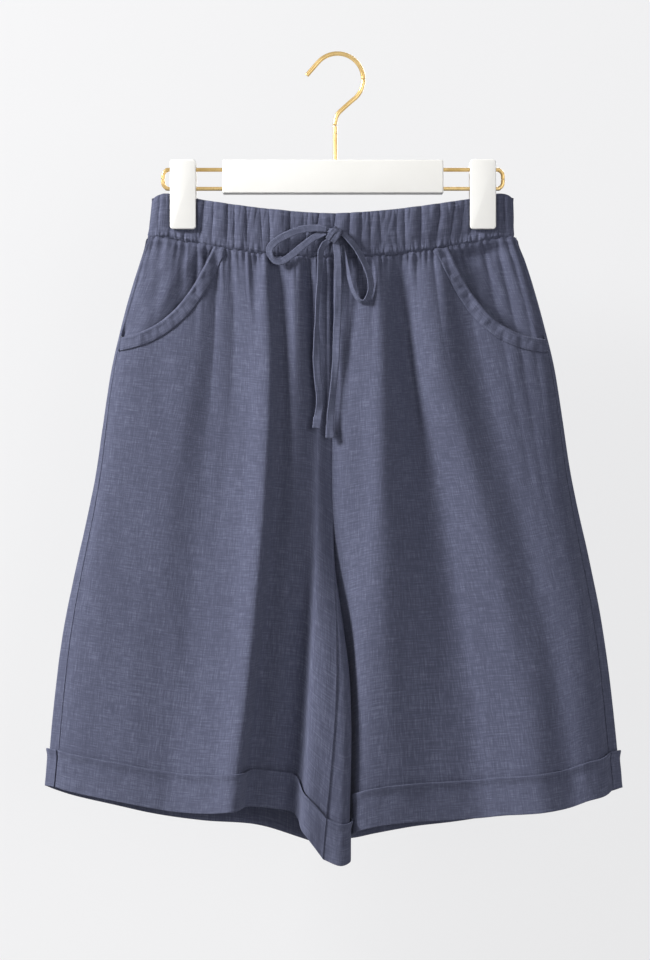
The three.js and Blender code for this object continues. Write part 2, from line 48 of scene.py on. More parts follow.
cameraSetup = {
    "lens": 85.0,
    "sensor": 36.0,
    "distance": 2.108,
    "centre": (-0.0116, -0.3945),  # x and z that the view is centred on
}


def makeCamera(setup):
    x, z = setup["centre"]
    bpy.ops.object.camera_add(location=(x, -setup["distance"], z), rotation=(math.radians(90), 0, 0))
    camera = bpy.context.object
    camera.name = "mainCamera"
    camera.data.sensor_fit = "VERTICAL"
    camera.data.sensor_height = setup["sensor"]
    camera.data.lens = setup["lens"]
    camera.data.clip_start = 0.05
    bpy.context.scene.camera = camera
    return camera


makeCamera(cameraSetup)
print("camera placed")


# helpers that every piece shares

def ripple(a, b, seed):
    # smooth uneven waves, the same on every run
    total = np.sin(a * 1.0 + b * 0.37 + seed * 1.7)
    total = total + 0.7 * np.sin(a * 1.93 - b * 0.81 + seed * 2.9)
    total = total + 0.5 * np.sin(a * 0.53 + b * 1.71 + seed * 4.3)
    total = total + 0.35 * np.sin(a * 3.1 + b * 2.3 + seed * 0.9)
    return total / 2.55


def chance(index, salt):
    value = math.sin(index * 12.9898 + salt * 78.233) * 43758.5453
    return value - math.floor(value)


def smoothStep(low, high, value):
    t = np.clip((value - low) / (high - low), 0.0, 1.0)
    return t * t * (3 - 2 * t)


def gridNormals(points):
    across = np.gradient(points, axis=1)
    down = np.gradient(points, axis=0)
    normal = np.cross(down, across)
    length = np.linalg.norm(normal, axis=2, keepdims=True)
    return normal / np.maximum(length, 1e-9)


def gridObject(name, points, keep=None, closed=False, uv=None):
    # rows run down and columns run round; points are in millimetres from the bar's centre
    rows, columns, _ = points.shape
    placed = (points + np.array([shiftX, 0, 0])) * mm
    verts = placed.reshape(-1, 3)
    index = np.arange(rows * columns).reshape(rows, columns)
    if closed:
        right = np.roll(index, -1, axis=1)
        left = index
    else:
        right = index[:, 1:]
        left = index[:, :-1]
    quads = np.stack([left[:-1], left[1:], right[1:], right[:-1]], axis=2)
    if keep is not None:
        quads = quads[keep]
    quads = quads.reshape(-1, 4)
    mesh = bpy.data.meshes.new(name)
    mesh.from_pydata(verts.tolist(), [], quads.tolist())
    if uv is None:
        uv = flatMap(points, closed)
    layer = mesh.uv_layers.new(name="cloth")
    loops = np.empty(len(mesh.loops), dtype=np.int64)
    mesh.loops.foreach_get("vertex_index", loops)
    layer.data.foreach_set("uv", uv.reshape(-1, 2)[loops].astype(np.float32).ravel())
    piece = bpy.data.objects.new(name, mesh)
    bpy.context.scene.collection.objects.link(piece)
    mesh.polygons.foreach_set("use_smooth", [True] * len(mesh.polygons))
    dropLoose(piece)
    return piece


def flatMap(points, closed):
    # the cloth's own lengths, across and down, in metres
    step = np.linalg.norm(np.diff(points, axis=1), axis=2)
    middle = step[len(step) // 2]
    across = np.concatenate([[0.0], np.cumsum(middle)])
    down = np.concatenate([[0.0], np.cumsum(np.linalg.norm(np.diff(points, axis=0), axis=2).mean(axis=1))])
    u, v = np.meshgrid(across - across.mean(), -down)
    return np.stack([u, v], axis=2) * mm


def activate(piece):
    bpy.ops.object.select_all(action="DESELECT")
    piece.select_set(True)
    bpy.context.view_layer.objects.active = piece


def dropLoose(piece):
    activate(piece)
    bpy.ops.object.mode_set(mode="EDIT")
    bpy.ops.mesh.select_all(action="SELECT")
    bpy.ops.mesh.delete_loose()
    bpy.ops.object.mode_set(mode="OBJECT")


def applyAll(piece):
    activate(piece)
    for modifier in list(piece.modifiers):
        bpy.ops.object.modifier_apply(modifier=modifier.name)


def giveWall(piece, thickness, inward=True):
    wall = piece.modifiers.new("wall", "SOLIDIFY")
    wall.thickness = thickness * mm
    wall.offset = -1.0 if inward else 1.0
    wall.use_rim = True
    applyAll(piece)


def finishPiece(piece, nodes, material):
    piece.data.materials.clear()
    piece.data.materials.append(material)
    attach(piece, "root")
    if nodes:
        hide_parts(*nodes)
    return piece


# materials

def newMaterial(name):
    material = bpy.data.materials.new(name)
    material.use_nodes = True
    nodes = material.node_tree.nodes
    return material, nodes, material.node_tree.links, nodes["Principled BSDF"]


def mathNode(nodes, links, operation, first, second=None, clamp=False):
    node = nodes.new("ShaderNodeMath")
    node.operation = operation
    node.use_clamp = clamp
    for socket, value in zip(node.inputs, (first, second)):
        if value is None:
            continue
        if isinstance(value, (int, float)):
            socket.default_value = value
        else:
            links.new(value, socket)
    return node.outputs[0]


def buildWeaveGroup():
    # linen: uneven warp and weft threads, thick slubs, and a cloudy change of tone
    group = bpy.data.node_groups.new("linenWeave", "ShaderNodeTree")
    face = group.interface
    for name, kind, value in (
        ("Base", "NodeSocketColor", (0.11, 0.12, 0.19, 1)),
        ("Light Thread", "NodeSocketColor", (0.2, 0.21, 0.29, 1)),
        ("Dark Thread", "NodeSocketColor", (0.05, 0.055, 0.1, 1)),
        ("Slub Amount", "NodeSocketFloat", 0.5),
        ("Thread Pitch", "NodeSocketFloat", 0.0008),
    ):
        socket = face.new_socket(name, in_out="INPUT", socket_type=kind)
        socket.default_value = value
    face.new_socket("Color", in_out="OUTPUT", socket_type="NodeSocketColor")
    face.new_socket("Roughness", in_out="OUTPUT", socket_type="NodeSocketFloat")
    face.new_socket("Height", in_out="OUTPUT", socket_type="NodeSocketFloat")
    nodes, links = group.nodes, group.links
    inputs = nodes.new("NodeGroupInput")
    outputs = nodes.new("NodeGroupOutput")
    uv = nodes.new("ShaderNodeUVMap")
    uv.uv_map = "cloth"

    def streaks(acrossScale, alongScale, detail, turn):
        mapping = nodes.new("ShaderNodeMapping")
        mapping.inputs["Scale"].default_value = (
            (acrossScale, alongScale, 1) if not turn else (alongScale, acrossScale, 1))
        noise = nodes.new("ShaderNodeTexNoise")
        noise.noise_dimensions = "2D"
        noise.inputs["Scale"].default_value = 1.0
        noise.inputs["Detail"].default_value = detail
        noise.inputs["Roughness"].default_value = 0.6
        links.new(uv.outputs["UV"], mapping.inputs["Vector"])
        links.new(mapping.outputs["Vector"], noise.inputs["Vector"])
        return noise.outputs["Fac"]

    warp = streaks(1250, 90, 2.0, False)
    weft = streaks(1250, 90, 2.0, True)
    warpSlub = streaks(760, 42, 1.0, False)
    weftSlub = streaks(700, 38, 1.0, True)
    cloud = streaks(9, 7, 3.0, False)

    def centred(value, gain):
        return mathNode(nodes, links, "MULTIPLY", mathNode(nodes, links, "SUBTRACT", value, 0.5), gain)

    threads = mathNode(nodes, links, "ADD", centred(warp, 1.6), centred(weft, 1.5))
    slubs = mathNode(nodes, links, "ADD", centred(warpSlub, 1.5), centred(weftSlub, 1.7))
    scaledSlubs = mathNode(nodes, links, "MULTIPLY", slubs, inputs.outputs["Slub Amount"])
    tone = mathNode(nodes, links, "ADD", threads, scaledSlubs)
    tone = mathNode(nodes, links, "ADD", tone, centred(cloud, 0.5))
    lighter = mathNode(nodes, links, "MULTIPLY", tone, 0.6, clamp=True)
    darker = mathNode(nodes, links, "MULTIPLY", tone, -0.6, clamp=True)
    mixLight = nodes.new("ShaderNodeMix")
    mixLight.data_type = "RGBA"
    mixDark = nodes.new("ShaderNodeMix")
    mixDark.data_type = "RGBA"
    links.new(lighter, mixLight.inputs["Factor"])
    links.new(inputs.outputs["Base"], mixLight.inputs["A"])
    links.new(inputs.outputs["Light Thread"], mixLight.inputs["B"])
    links.new(darker, mixDark.inputs["Factor"])
    links.new(mixLight.outputs["Result"], mixDark.inputs["A"])
    links.new(inputs.outputs["Dark Thread"], mixDark.inputs["B"])
    links.new(mixDark.outputs["Result"], outputs.inputs["Color"])

    pitch = mathNode(nodes, links, "DIVIDE", math.pi, inputs.outputs["Thread Pitch"])
    split = nodes.new("ShaderNodeSeparateXYZ")
    links.new(uv.outputs["UV"], split.inputs[0])
    waves = []
    for axis in ("X", "Y"):
        phase = mathNode(nodes, links, "MULTIPLY", split.outputs[axis], pitch)
        waves.append(mathNode(nodes, links, "ABSOLUTE", mathNode(nodes, links, "SINE", phase)))
    weave = mathNode(nodes, links, "MULTIPLY", waves[0], waves[1])
    height = mathNode(nodes, links, "ADD", mathNode(nodes, links, "MULTIPLY", weave, 0.35), tone)
    links.new(height, outputs.inputs["Height"])
    rough = mathNode(nodes, links, "SUBTRACT", 0.93, mathNode(nodes, links, "MULTIPLY", lighter, 0.12))
    links.new(rough, outputs.inputs["Roughness"])
    return group


weaveGroup = buildWeaveGroup()

linenLook = {
    "base": (0.077, 0.0833, 0.1315, 1),
    "light": (0.18, 0.195, 0.285, 1),
    "dark": (0.045, 0.048, 0.08, 1),
    "slubs": 0.5,
    "pitch": 0.0008,
    "bump": 0.35,
}


def makeLinen(name, look):
    material, nodes, links, shader = newMaterial(name)
    weave = nodes.new("ShaderNodeGroup")
    weave.node_tree = weaveGroup
    weave.inputs["Base"].default_value = look["base"]
    weave.inputs["Light Thread"].default_value = look["light"]
    weave.inputs["Dark Thread"].default_value = look["dark"]
    weave.inputs["Slub Amount"].default_value = look["slubs"]
    weave.inputs["Thread Pitch"].default_value = look["pitch"]
    bump = nodes.new("ShaderNodeBump")
    bump.inputs["Strength"].default_value = look["bump"]
    bump.inputs["Distance"].default_value = 0.0004
    links.new(weave.outputs["Height"], bump.inputs["Height"])
    links.new(weave.outputs["Color"], shader.inputs["Base Color"])
    links.new(weave.outputs["Roughness"], shader.inputs["Roughness"])
    links.new(bump.outputs["Normal"], shader.inputs["Normal"])
    shader.inputs["Sheen Weight"].default_value = 0.1
    shader.inputs["Sheen Roughness"].default_value = 0.5
    shader.inputs["Sheen Tint"].default_value = (0.6, 0.65, 0.85, 1)
    shader.inputs["Specular IOR Level"].default_value = 0.25
    return material


def lightenEdges(material):
    # the tape's folded edges are painted paler: partly rubbed wear, partly a painted highlight where the
    # edges catch the light; its map runs once round in 16 mm
    nodes, links = material.node_tree.nodes, material.node_tree.links
    uv = nodes.new("ShaderNodeUVMap")
    uv.uv_map = "cloth"
    split = nodes.new("ShaderNodeSeparateXYZ")
    links.new(uv.outputs["UV"], split.inputs[0])
    phase = mathNode(nodes, links, "MULTIPLY", split.outputs["X"], math.pi / 0.008)
    away = mathNode(nodes, links, "ABSOLUTE", mathNode(nodes, links, "SINE", phase))
    rim = mathNode(nodes, links, "SUBTRACT", 0.55, away, clamp=True)
    mix = nodes.new("ShaderNodeMix")
    mix.data_type = "RGBA"
    shader = next(node for node in nodes if node.type == "BSDF_PRINCIPLED")
    weave = shader.inputs["Base Color"].links[0].from_socket
    links.new(rim, mix.inputs["Factor"])
    links.new(weave, mix.inputs["A"])
    # paler edge colour: partly rubbed wear, partly painted highlight
    mix.inputs["B"].default_value = (0.21, 0.225, 0.32, 1)
    links.new(mix.outputs["Result"], shader.inputs["Base Color"])


linen = makeLinen("linen", linenLook)
cuffLinen = makeLinen("cuffLinen", {**linenLook, "base": (0.079, 0.0855, 0.134, 1)})
tapeLinen = makeLinen("tapeLinen", {**linenLook, "base": (0.092, 0.1, 0.154, 1), "slubs": 0.55})
lightenEdges(tapeLinen)


def makeThread():
    material, nodes, links, shader = newMaterial("thread")
    noise = nodes.new("ShaderNodeTexNoise")
    noise.inputs["Scale"].default_value = 900
    coords = nodes.new("ShaderNodeTexCoord")
    ramp = nodes.new("ShaderNodeValToRGB")
    ramp.color_ramp.elements[0].color = (0.1, 0.11, 0.17, 1)
    ramp.color_ramp.elements[1].color = (0.23, 0.25, 0.34, 1)
    links.new(coords.outputs["Object"], noise.inputs["Vector"])
    links.new(noise.outputs["Fac"], ramp.inputs["Fac"])
    links.new(ramp.outputs["Color"], shader.inputs["Base Color"])
    shader.inputs["Roughness"].default_value = 0.7
    return material


thread = makeThread()

brassLook = {"light": (0.76, 0.55, 0.25, 1), "dark": (0.55, 0.37, 0.14, 1)}


def makeBrass(look):
    material, nodes, links, shader = newMaterial("satinBrass")
    coords = nodes.new("ShaderNodeTexCoord")
    cloud = nodes.new("ShaderNodeTexNoise")
    cloud.inputs["Scale"].default_value = 60
    cloud.inputs["Detail"].default_value = 4
    fine = nodes.new("ShaderNodeTexNoise")
    fine.inputs["Scale"].default_value = 900
    ramp = nodes.new("ShaderNodeValToRGB")
    ramp.color_ramp.elements[0].color = look["dark"]
    ramp.color_ramp.elements[0].position = 0.3
    ramp.color_ramp.elements[1].color = look["light"]
    ramp.color_ramp.elements[1].position = 0.65
    links.new(coords.outputs["Object"], cloud.inputs["Vector"])
    links.new(coords.outputs["Object"], fine.inputs["Vector"])
    links.new(cloud.outputs["Fac"], ramp.inputs["Fac"])
    links.new(ramp.outputs["Color"], shader.inputs["Base Color"])
    rough = mathNode(nodes, links, "MULTIPLY", fine.outputs["Fac"], 0.22)
    links.new(mathNode(nodes, links, "ADD", rough, 0.2), shader.inputs["Roughness"])
    bump = nodes.new("ShaderNodeBump")
    bump.inputs["Strength"].default_value = 0.06
    bump.inputs["Distance"].default_value = 0.0002
    links.new(fine.outputs["Fac"], bump.inputs["Height"])
    links.new(bump.outputs["Normal"], shader.inputs["Normal"])
    shader.inputs["Metallic"].default_value = 1.0
    return material


def makeWhite():
    material, nodes, links, shader = newMaterial("offWhitePlastic")
    coords = nodes.new("ShaderNodeTexCoord")
    cloud = nodes.new("ShaderNodeTexNoise")
    cloud.inputs["Scale"].default_value = 25
    cloud.inputs["Detail"].default_value = 3
    grain = nodes.new("ShaderNodeTexNoise")
    grain.inputs["Scale"].default_value = 1800
    ramp = nodes.new("ShaderNodeValToRGB")
    ramp.color_ramp.elements[0].color = (0.797, 0.787, 0.749, 1)
    ramp.color_ramp.elements[1].color = (0.863, 0.853, 0.825, 1)
    links.new(coords.outputs["Object"], cloud.inputs["Vector"])
    links.new(coords.outputs["Object"], grain.inputs["Vector"])
    links.new(cloud.outputs["Fac"], ramp.inputs["Fac"])
    links.new(ramp.outputs["Color"], shader.inputs["Base Color"])
    rough = mathNode(nodes, links, "MULTIPLY", grain.outputs["Fac"], 0.15)
    links.new(mathNode(nodes, links, "ADD", rough, 0.38), shader.inputs["Roughness"])
    bump = nodes.new("ShaderNodeBump")
    bump.inputs["Strength"].default_value = 0.05
    bump.inputs["Distance"].default_value = 0.0002
    links.new(grain.outputs["Fac"], bump.inputs["Height"])
    links.new(bump.outputs["Normal"], shader.inputs["Normal"])
    return material


brass = makeBrass(brassLook)
offWhite = makeWhite()
print("materials ready")


# drawstring, in metres from the bar's centre

tape = {
    "width": 0.007,
    "thickness": 0.0015,
    "rightLoop": [
        (-0.0058, -0.025, -0.1644), (-0.012, -0.024, -0.1632), (-0.019, -0.023, -0.1629),
        (-0.0294, -0.022, -0.1641), (-0.0393, -0.0214, -0.1675), (-0.0494, -0.0208, -0.1725),
        (-0.056, -0.0202, -0.1779), (-0.0587, -0.0198, -0.1833), (-0.0571, -0.0194, -0.1888),
        (-0.053, -0.019, -0.1926), (-0.0475, -0.019, -0.193), (-0.0417, -0.0192, -0.1899),
        (-0.0339, -0.0198, -0.1838), (-0.0262, -0.0204, -0.1775), (-0.0186, -0.021, -0.1719),
        (-0.0115, -0.0214, -0.1686), (-0.006, -0.0218, -0.1674),
    ],
    "leftLoop": [
        (0.0089, -0.024, -0.168), (0.0124, -0.0236, -0.1709), (0.0162, -0.0232, -0.1748),
        (0.0216, -0.0228, -0.1818), (0.027, -0.0224, -0.191), (0.0315, -0.022, -0.2003),
        (0.0342, -0.0218, -0.2095), (0.0347, -0.0216, -0.2172), (0.0331, -0.0214, -0.2242),
        (0.0298, -0.0212, -0.2294), (0.026, -0.0212, -0.2302), (0.0218, -0.0214, -0.2265),
        (0.0179, -0.0216, -0.2188), (0.0153, -0.0214, -0.2095), (0.0132, -0.0206, -0.2003),
        (0.0109, -0.0196, -0.191), (0.0092, -0.0191, -0.183), (0.008, -0.0191, -0.1778),
    ],
    "rightTail": [
        (-0.0035, -0.0216, -0.1737), (-0.0078, -0.0208, -0.1778), (-0.011, -0.02, -0.1836),
        (-0.0117, -0.0196, -0.192), (-0.012, -0.0194, -0.202), (-0.0127, -0.0192, -0.2134),
        (-0.0138, -0.019, -0.225), (-0.0147, -0.0188, -0.24), (-0.0153, -0.0186, -0.254),
        (-0.015, -0.0184, -0.268), (-0.0152, -0.0182, -0.283), (-0.0144, -0.018, -0.298),
        (-0.0126, -0.018, -0.314), (-0.0124, -0.0182, -0.326), (-0.014, -0.0188, -0.336),
        (-0.0153, -0.0194, -0.347),
    ],
    "leftTail": [
        (0.0022, -0.0226, -0.175), (0.0033, -0.0223, -0.18), (0.0042, -0.0218, -0.188),
        (0.0046, -0.021, -0.2), (0.0047, -0.0202, -0.213), (0.0046, -0.0194, -0.226),
        (0.0044, -0.019, -0.24), (0.0036, -0.0186, -0.255), (0.003, -0.0184, -0.27),
        (0.0026, -0.0182, -0.284), (0.0012, -0.018, -0.3), (-0.0004, -0.0178, -0.316),
        (-0.002, -0.0178, -0.33), (-0.0028, -0.018, -0.343), (-0.0028, -0.0184, -0.356),
    ],
}


def smoothPath(points, perSpan):
    # a smooth curve through the points, evenly spaced along it
    spine = np.array(points)
    before = 2 * spine[0] - spine[1]
    after = 2 * spine[-1] - spine[-2]
    full = np.vstack([before, spine, after])
    path = []
    for index in range(len(spine) - 1):
        p0, p1, p2, p3 = full[index:index + 4]
        for step in range(perSpan):
            t = step / perSpan
            path.append(0.5 * (2 * p1 + (p2 - p0) * t + (2 * p0 - 5 * p1 + 4 * p2 - p3) * t ** 2
                               + (3 * p1 - p0 - 3 * p2 + p3) * t ** 3))
    path.append(spine[-1])
    return np.array(path)


def tapeSection(width, thickness, sides=20):
    # flat with full round edges and a slightly raised hem along each side
    angles = np.linspace(0, 2 * math.pi, sides, endpoint=False)
    across = np.sign(np.cos(angles)) * np.abs(np.cos(angles)) ** 0.45 * width / 2
    swell = 0.7 + 0.42 * smoothStep(0.22, 0.42, np.abs(across) / width)
    out = np.sin(angles) * thickness / 2 * swell
    return across, out


def makeTape(name, points, node, farEnd, turns, narrow):
    path = smoothPath(points, 8)
    tangent = np.gradient(path, axis=0)
    tangent /= np.linalg.norm(tangent, axis=1, keepdims=True)
    facing = np.array([0.0, 1.0, 0.0])
    across = np.cross(tangent, facing)
    across /= np.linalg.norm(across, axis=1, keepdims=True)
    out = np.cross(across, tangent)
    place = np.linspace(0, 1, len(path))
    angle = np.radians(np.interp(place, [t[0] for t in turns], [t[1] for t in turns]))
    size = np.interp(place, [t[0] for t in narrow], [t[1] for t in narrow])
    sideways = across * np.cos(angle)[:, None] + out * np.sin(angle)[:, None]
    outwards = -across * np.sin(angle)[:, None] + out * np.cos(angle)[:, None]
    sectionX, sectionY = tapeSection(tape["width"], tape["thickness"])
    pucker = 1 + 0.05 * ripple(place * 60, place * 11, len(name))
    tip = (1 - place) * len(path) * 0.9 if farEnd == "bare" else np.full(len(path), 99.0)
    thick = 1 + 0.55 * (tip < 7) - 0.35 * np.exp(-((tip - 8) / 0.8) ** 2)
    size = size * np.where(tip < 7, 1.14, 1)
    points3d = (path[:, None, :]
                + sideways[:, None, :] * (sectionX[None, :, None] * (size * pucker)[:, None, None])
                + outwards[:, None, :] * (sectionY[None, :, None] * thick[:, None, None]))
    rings = points3d / mm
    length = np.concatenate([[0], np.cumsum(np.linalg.norm(np.diff(path, axis=0), axis=1))])
    girth = np.linspace(0, 0.016, rings.shape[1], endpoint=False)
    uv = np.stack(np.meshgrid(girth, length), axis=2)
    piece = gridObject(name, rings, closed=True, uv=uv)
    activate(piece)
    bpy.ops.object.mode_set(mode="EDIT")
    bpy.ops.mesh.select_all(action="DESELECT")
    bpy.ops.mesh.select_non_manifold()
    bpy.ops.mesh.edge_face_add()
    bpy.ops.mesh.select_all(action="SELECT")
    bpy.ops.mesh.normals_make_consistent(inside=False)
    bpy.ops.object.mode_set(mode="OBJECT")
    finishPiece(piece, [node], tapeLinen)
    return piece


makeTape("tapeLoopRight", tape["rightLoop"], "tie_loop_right", "object",
         [(0, 35), (0.12, 10), (0.4, 0), (0.5, -35), (0.62, 0), (0.9, 0), (1, 30)],
         [(0, 0.72), (0.08, 0.95), (0.42, 1), (0.52, 0.8), (0.62, 0.95), (0.92, 0.9), (1, 0.6)])
makeTape("tapeLoopLeft", tape["leftLoop"], "tie_loop_left", "object",
         [(0, 20), (0.15, 38), (0.35, 25), (0.5, 50), (0.56, 66), (0.66, 60), (0.85, 55), (1, 20)],
         [(0, 0.7), (0.1, 0.95), (0.5, 0.95), (0.6, 0.9), (0.9, 0.9), (1, 0.6)])
makeTape("tapeTailRight", tape["rightTail"], "tie_tail_right", "bare",
         [(0, 5), (0.1, 30), (0.3, 48), (0.44, 56), (0.52, 60), (0.6, 24), (0.7, 8), (0.85, 22),
          (0.93, -6), (1, 0)],
         [(0, 0.6), (0.06, 0.95), (0.4, 0.95), (0.5, 0.85), (0.6, 1), (1, 1)])
makeTape("tapeTailLeft", tape["leftTail"], "tie_tail_left", "bare",
         [(0, 0), (0.15, -14), (0.4, 10), (0.6, -16), (0.78, 26), (0.9, 10), (1, 0)],
         [(0, 0.6), (0.06, 0.95), (0.5, 1), (0.7, 0.92), (1, 1)])
print("drawstring made")


# the cloth's own lines, in millimetres from the bar's centre

stages = [0, 0.21, 0.45, 0.72, 1]
waistTop = {"centre": -149.0, "rise": 19.7, "power": 1.6}
waistSeam = {"centre": -189.0, "rise": 19.5, "power": 1.8}
waistReach = 152.0

# each line runs from the waist seam to the hem: name, x and y at the five stages, height of its end
rightFront = [
    ("side seam", (-170.5, -200, -217, -242.5, -257), (-2.5, -4, -5, -6, -7), -679),
    ("side round", (-166, -191, -207, -231, -245), (-6, -9, -10, -11, -12), -682),
    ("outer ridge", (-124, -128, -156, -178, -196), (-7.5, -16, -17, -19, -22), -691),
    ("outer trough", (-108, -109, -118, -132, -150), (-8.5, -13, -14.5, -18, -24), -699),
    ("main rise", (-84, -79, -85, -98, -116), (-11, -19, -23, -28, -34), -700),
    ("main ridge", (-60, -57, -63, -75, -91), (-14, -28, -34, -39, -43), -697),
    ("main foot", (-50, -46.5, -52, -64, -80), (-11.5, -17, -18, -19, -21), -695),
    ("middle ridge", (-38, -35, -37, -47, -57), (-14, -19, -18, -18, -18), -697),
    ("inner trough", (-24, -19, -20, -27, -36), (-11, -13, -12, -12, -13), -702),
    ("inner rise", (-13, -12, -13.5, -19, -26), (-10, -11, -14, -30, -36), -718),
    ("inner edge", (0.5, 0.5, 0.4, 3.4, -9.1), (-8.6, -8, -7.5, -33, -38), -741),
]
rightBack = [
    ("inner edge", (0.4, 0.4, 0.2, 3.3, -9.2), (15, 18, -4.5, -32.2, -37.2), -741),
    ("inner front turn", (-4, -4, -1.5, 12, 7), (15.4, 18, -3.4, -30, -38), -747),
    ("inner turn", (-12, -11, -4, 15.3, 14.5), (16, 18, -2.2, -22, -31), -744),
    ("inner back turn", (-22, -22, -12, 6, 6), (16, 19, 2, -10, -17), -738),
    ("seat trough", (-40, -42, -40, -32, -34), (17, 20, 13, 10, 4), -726),
    ("seat ridge", (-62, -66, -68, -68, -72), (15, 24, 26, 27, 22), -718),
    ("back trough", (-96, -102, -106, -112, -122), (13, 18, 21, 22, 21), -714),
    ("back ridge", (-124, -132, -140, -152, -166), (8, 18, 22, 26, 28), -709),
    ("back flank", (-146, -162, -174, -192, -206), (7.5, 13, 16, 18, 20), -699),
    ("back round", (-165, -190, -207, -234, -247), (6, 9, 10, 11, 12), -688),
    ("side turn", (-172, -203, -223, -251, -267), (1.5, 2, 2, 2, 2), -679),
    ("side seam", (-171.2, -200.7, -217.7, -243.2, -257.7), (-2.1, -3.6, -4.6, -5.6, -6.6), -679),
]
leftFront = [
    ("inner edge", (-0.4, -0.4, -2.6, 6, 3), (-7.8, -7.2, -3.6, -0.8, 1), -727),
    ("inner round", (9, 10, 9, 15, 14.5), (-11, -14, -14, -9, -13), -725),
    ("centre ridge", (24, 25, 26, 24.5, 23), (-13, -20, -22, -26, -29), -717),
    ("centre edge", (42, 44, 44.6, 46, 48), (-14, -26, -30, -30, -29), -711),
    ("front trough", (64, 72, 92, 118, 136), (-9, -10, -9.5, -10, -12), -707),
    ("leg rise", (79, 83, 106, 136, 156), (-12, -17, -15, -16, -18), -704),
    ("leg ridge", (93, 104, 135, 170, 192), (-13, -24, -26, -27, -29), -700),
    ("leg foot", (114, 130, 164, 200, 218), (-8.5, -13, -18, -20, -22), -696),
    ("outer ridge", (140, 164, 190, 219, 235), (-6.5, -12.5, -18.5, -20.5, -22), -690),
    ("side round", (162, 191.5, 210, 236.5, 251), (-6, -9.5, -13.5, -15, -16), -686),
    ("side seam", (168.5, 199.5, 218, 243.5, 258.5), (-2.5, -4, -5, -6, -7), -681),
]
leftBack = [
    ("side seam", (169.2, 200.2, 218.7, 244.2, 259.2), (-2.1, -3.6, -4.6, -5.6, -6.6), -681),
    ("side turn", (170.5, 203, 223.5, 252, 268), (1.5, 2, 2, 2, 2), -681),
    ("back round", (165, 190, 207, 233, 247), (6, 9, 10, 11, 12), -689),
    ("back flank", (146, 158, 172, 190, 203), (7.5, 15, 17, 20, 22), -700),
    ("back ridge", (122, 128, 138, 150, 160), (8.5, 19, 24, 27, 29), -709),
    ("back trough", (92, 98, 104, 110, 116), (13, 17, 20, 21, 22), -715),
    ("seat ridge", (60, 66, 72, 74, 76), (16, 24, 27, 29, 30), -721),
    ("seat trough", (40, 40, 40, 42, 42), (16.5, 20, 15, 20, 23), -726),
    ("inner back turn", (22, 22, 14, 18, 18), (16, 19, 6, 13, 18), -730),
    ("inner turn", (9, 9, 3, 7.6, 5.6), (15.5, 18, -2.5, 8, 11.5), -729),
    ("inner edge", (-0.3, -0.3, -2.6, 6.1, 3.1), (15, 18, -2.6, 0, 1.8), -727),
]


def waistHeight(edge, x):
    reach = np.minimum(1.0, np.abs(x) / waistReach)
    return edge["centre"] + edge["rise"] * reach ** edge["power"]


def stageValue(values, v):
    knots = np.array(stages)
    values = np.array(values, dtype=float)
    low = np.maximum(np.arange(len(knots)) - 1, 0)
    high = np.minimum(np.arange(len(knots)) + 1, len(knots) - 1)
    slopes = (values[high] - values[low]) / (knots[high] - knots[low])
    index = np.clip(np.searchsorted(knots, v, side="right") - 1, 0, len(knots) - 2)
    span = knots[index + 1] - knots[index]
    t = (v - knots[index]) / span
    a, b = values[index], values[index + 1]
    ta, tb = slopes[index] * span, slopes[index + 1] * span
    return ((2 * t ** 3 - 3 * t ** 2 + 1) * a + (t ** 3 - 2 * t ** 2 + t) * ta
            + (3 * t ** 2 - 2 * t ** 3) * b + (t ** 3 - t ** 2) * tb)


def acrossLines(columns, perLine):
    # the smooth curve through one point of each line, at every stage at once
    first = 2 * columns[:, 0] - columns[:, 1]
    last = 2 * columns[:, -1] - columns[:, -2]
    full = np.concatenate([first[:, None], columns, last[:, None]], axis=1)
    rows = []
    for index in range(columns.shape[1] - 1):
        p0, p1, p2, p3 = (full[:, index + k] for k in range(4))
        d0, d1, d2 = (np.sqrt(np.linalg.norm(b - a, axis=1, keepdims=True))
                      for a, b in ((p0, p1), (p1, p2), (p2, p3)))
        t1 = ((p1 - p0) / d0 - (p2 - p0) / (d0 + d1) + (p2 - p1) / d1) * d1
        t2 = ((p2 - p1) / d1 - (p3 - p1) / (d1 + d2) + (p3 - p2) / d2) * d1
        steps = perLine + 1 if index == columns.shape[1] - 2 else perLine
        for step in range(steps):
            t = step / perLine
            rows.append(p1 + t1 * t + (3 * (p2 - p1) - 2 * t1 - t2) * t ** 2
                        + (2 * (p1 - p2) + t1 + t2) * t ** 3)
    return np.stack(rows, axis=1)


def panelSurface(lines, heights, perLine):
    v = np.array(heights)
    columns = []
    for _, xs, ys, end in lines:
        top = waistHeight(waistSeam, xs[0]) - 0.3
        columns.append(np.stack([stageValue(xs, v), stageValue(ys, v), top + (end - top) * v], axis=1))
    return acrossLines(np.stack(columns, axis=1), perLine)


# gathers and creases

def foldEdges(start, end, narrow, wide, salt):
    edges = [start]
    index = 0
    while edges[-1] < end:
        edges.append(edges[-1] + narrow + (wide - narrow) * chance(index, salt))
        index += 1
    return np.array(edges)


def puffs(position, edges, salt, sharp=0.6):
    # rounded ridges with narrow troughs between them
    index = np.clip(np.searchsorted(edges, position) - 1, 0, len(edges) - 2)
    middle = (edges[index] + edges[index + 1]) / 2
    half = (edges[index + 1] - edges[index]) / 2
    local = np.clip((position - middle) / half, -1, 1)
    size = np.array([0.45 + 0.75 * chance(k, salt) for k in range(len(edges))])
    return size[index] * (1 - local ** 2) ** sharp, index


seamGathers = foldEdges(-200, 200, 4.6, 9.0, 3)
seamPuckers = foldEdges(-200, 200, 2.4, 6.2, 71)
longGathers = foldEdges(-210, 210, 11, 24, 9)

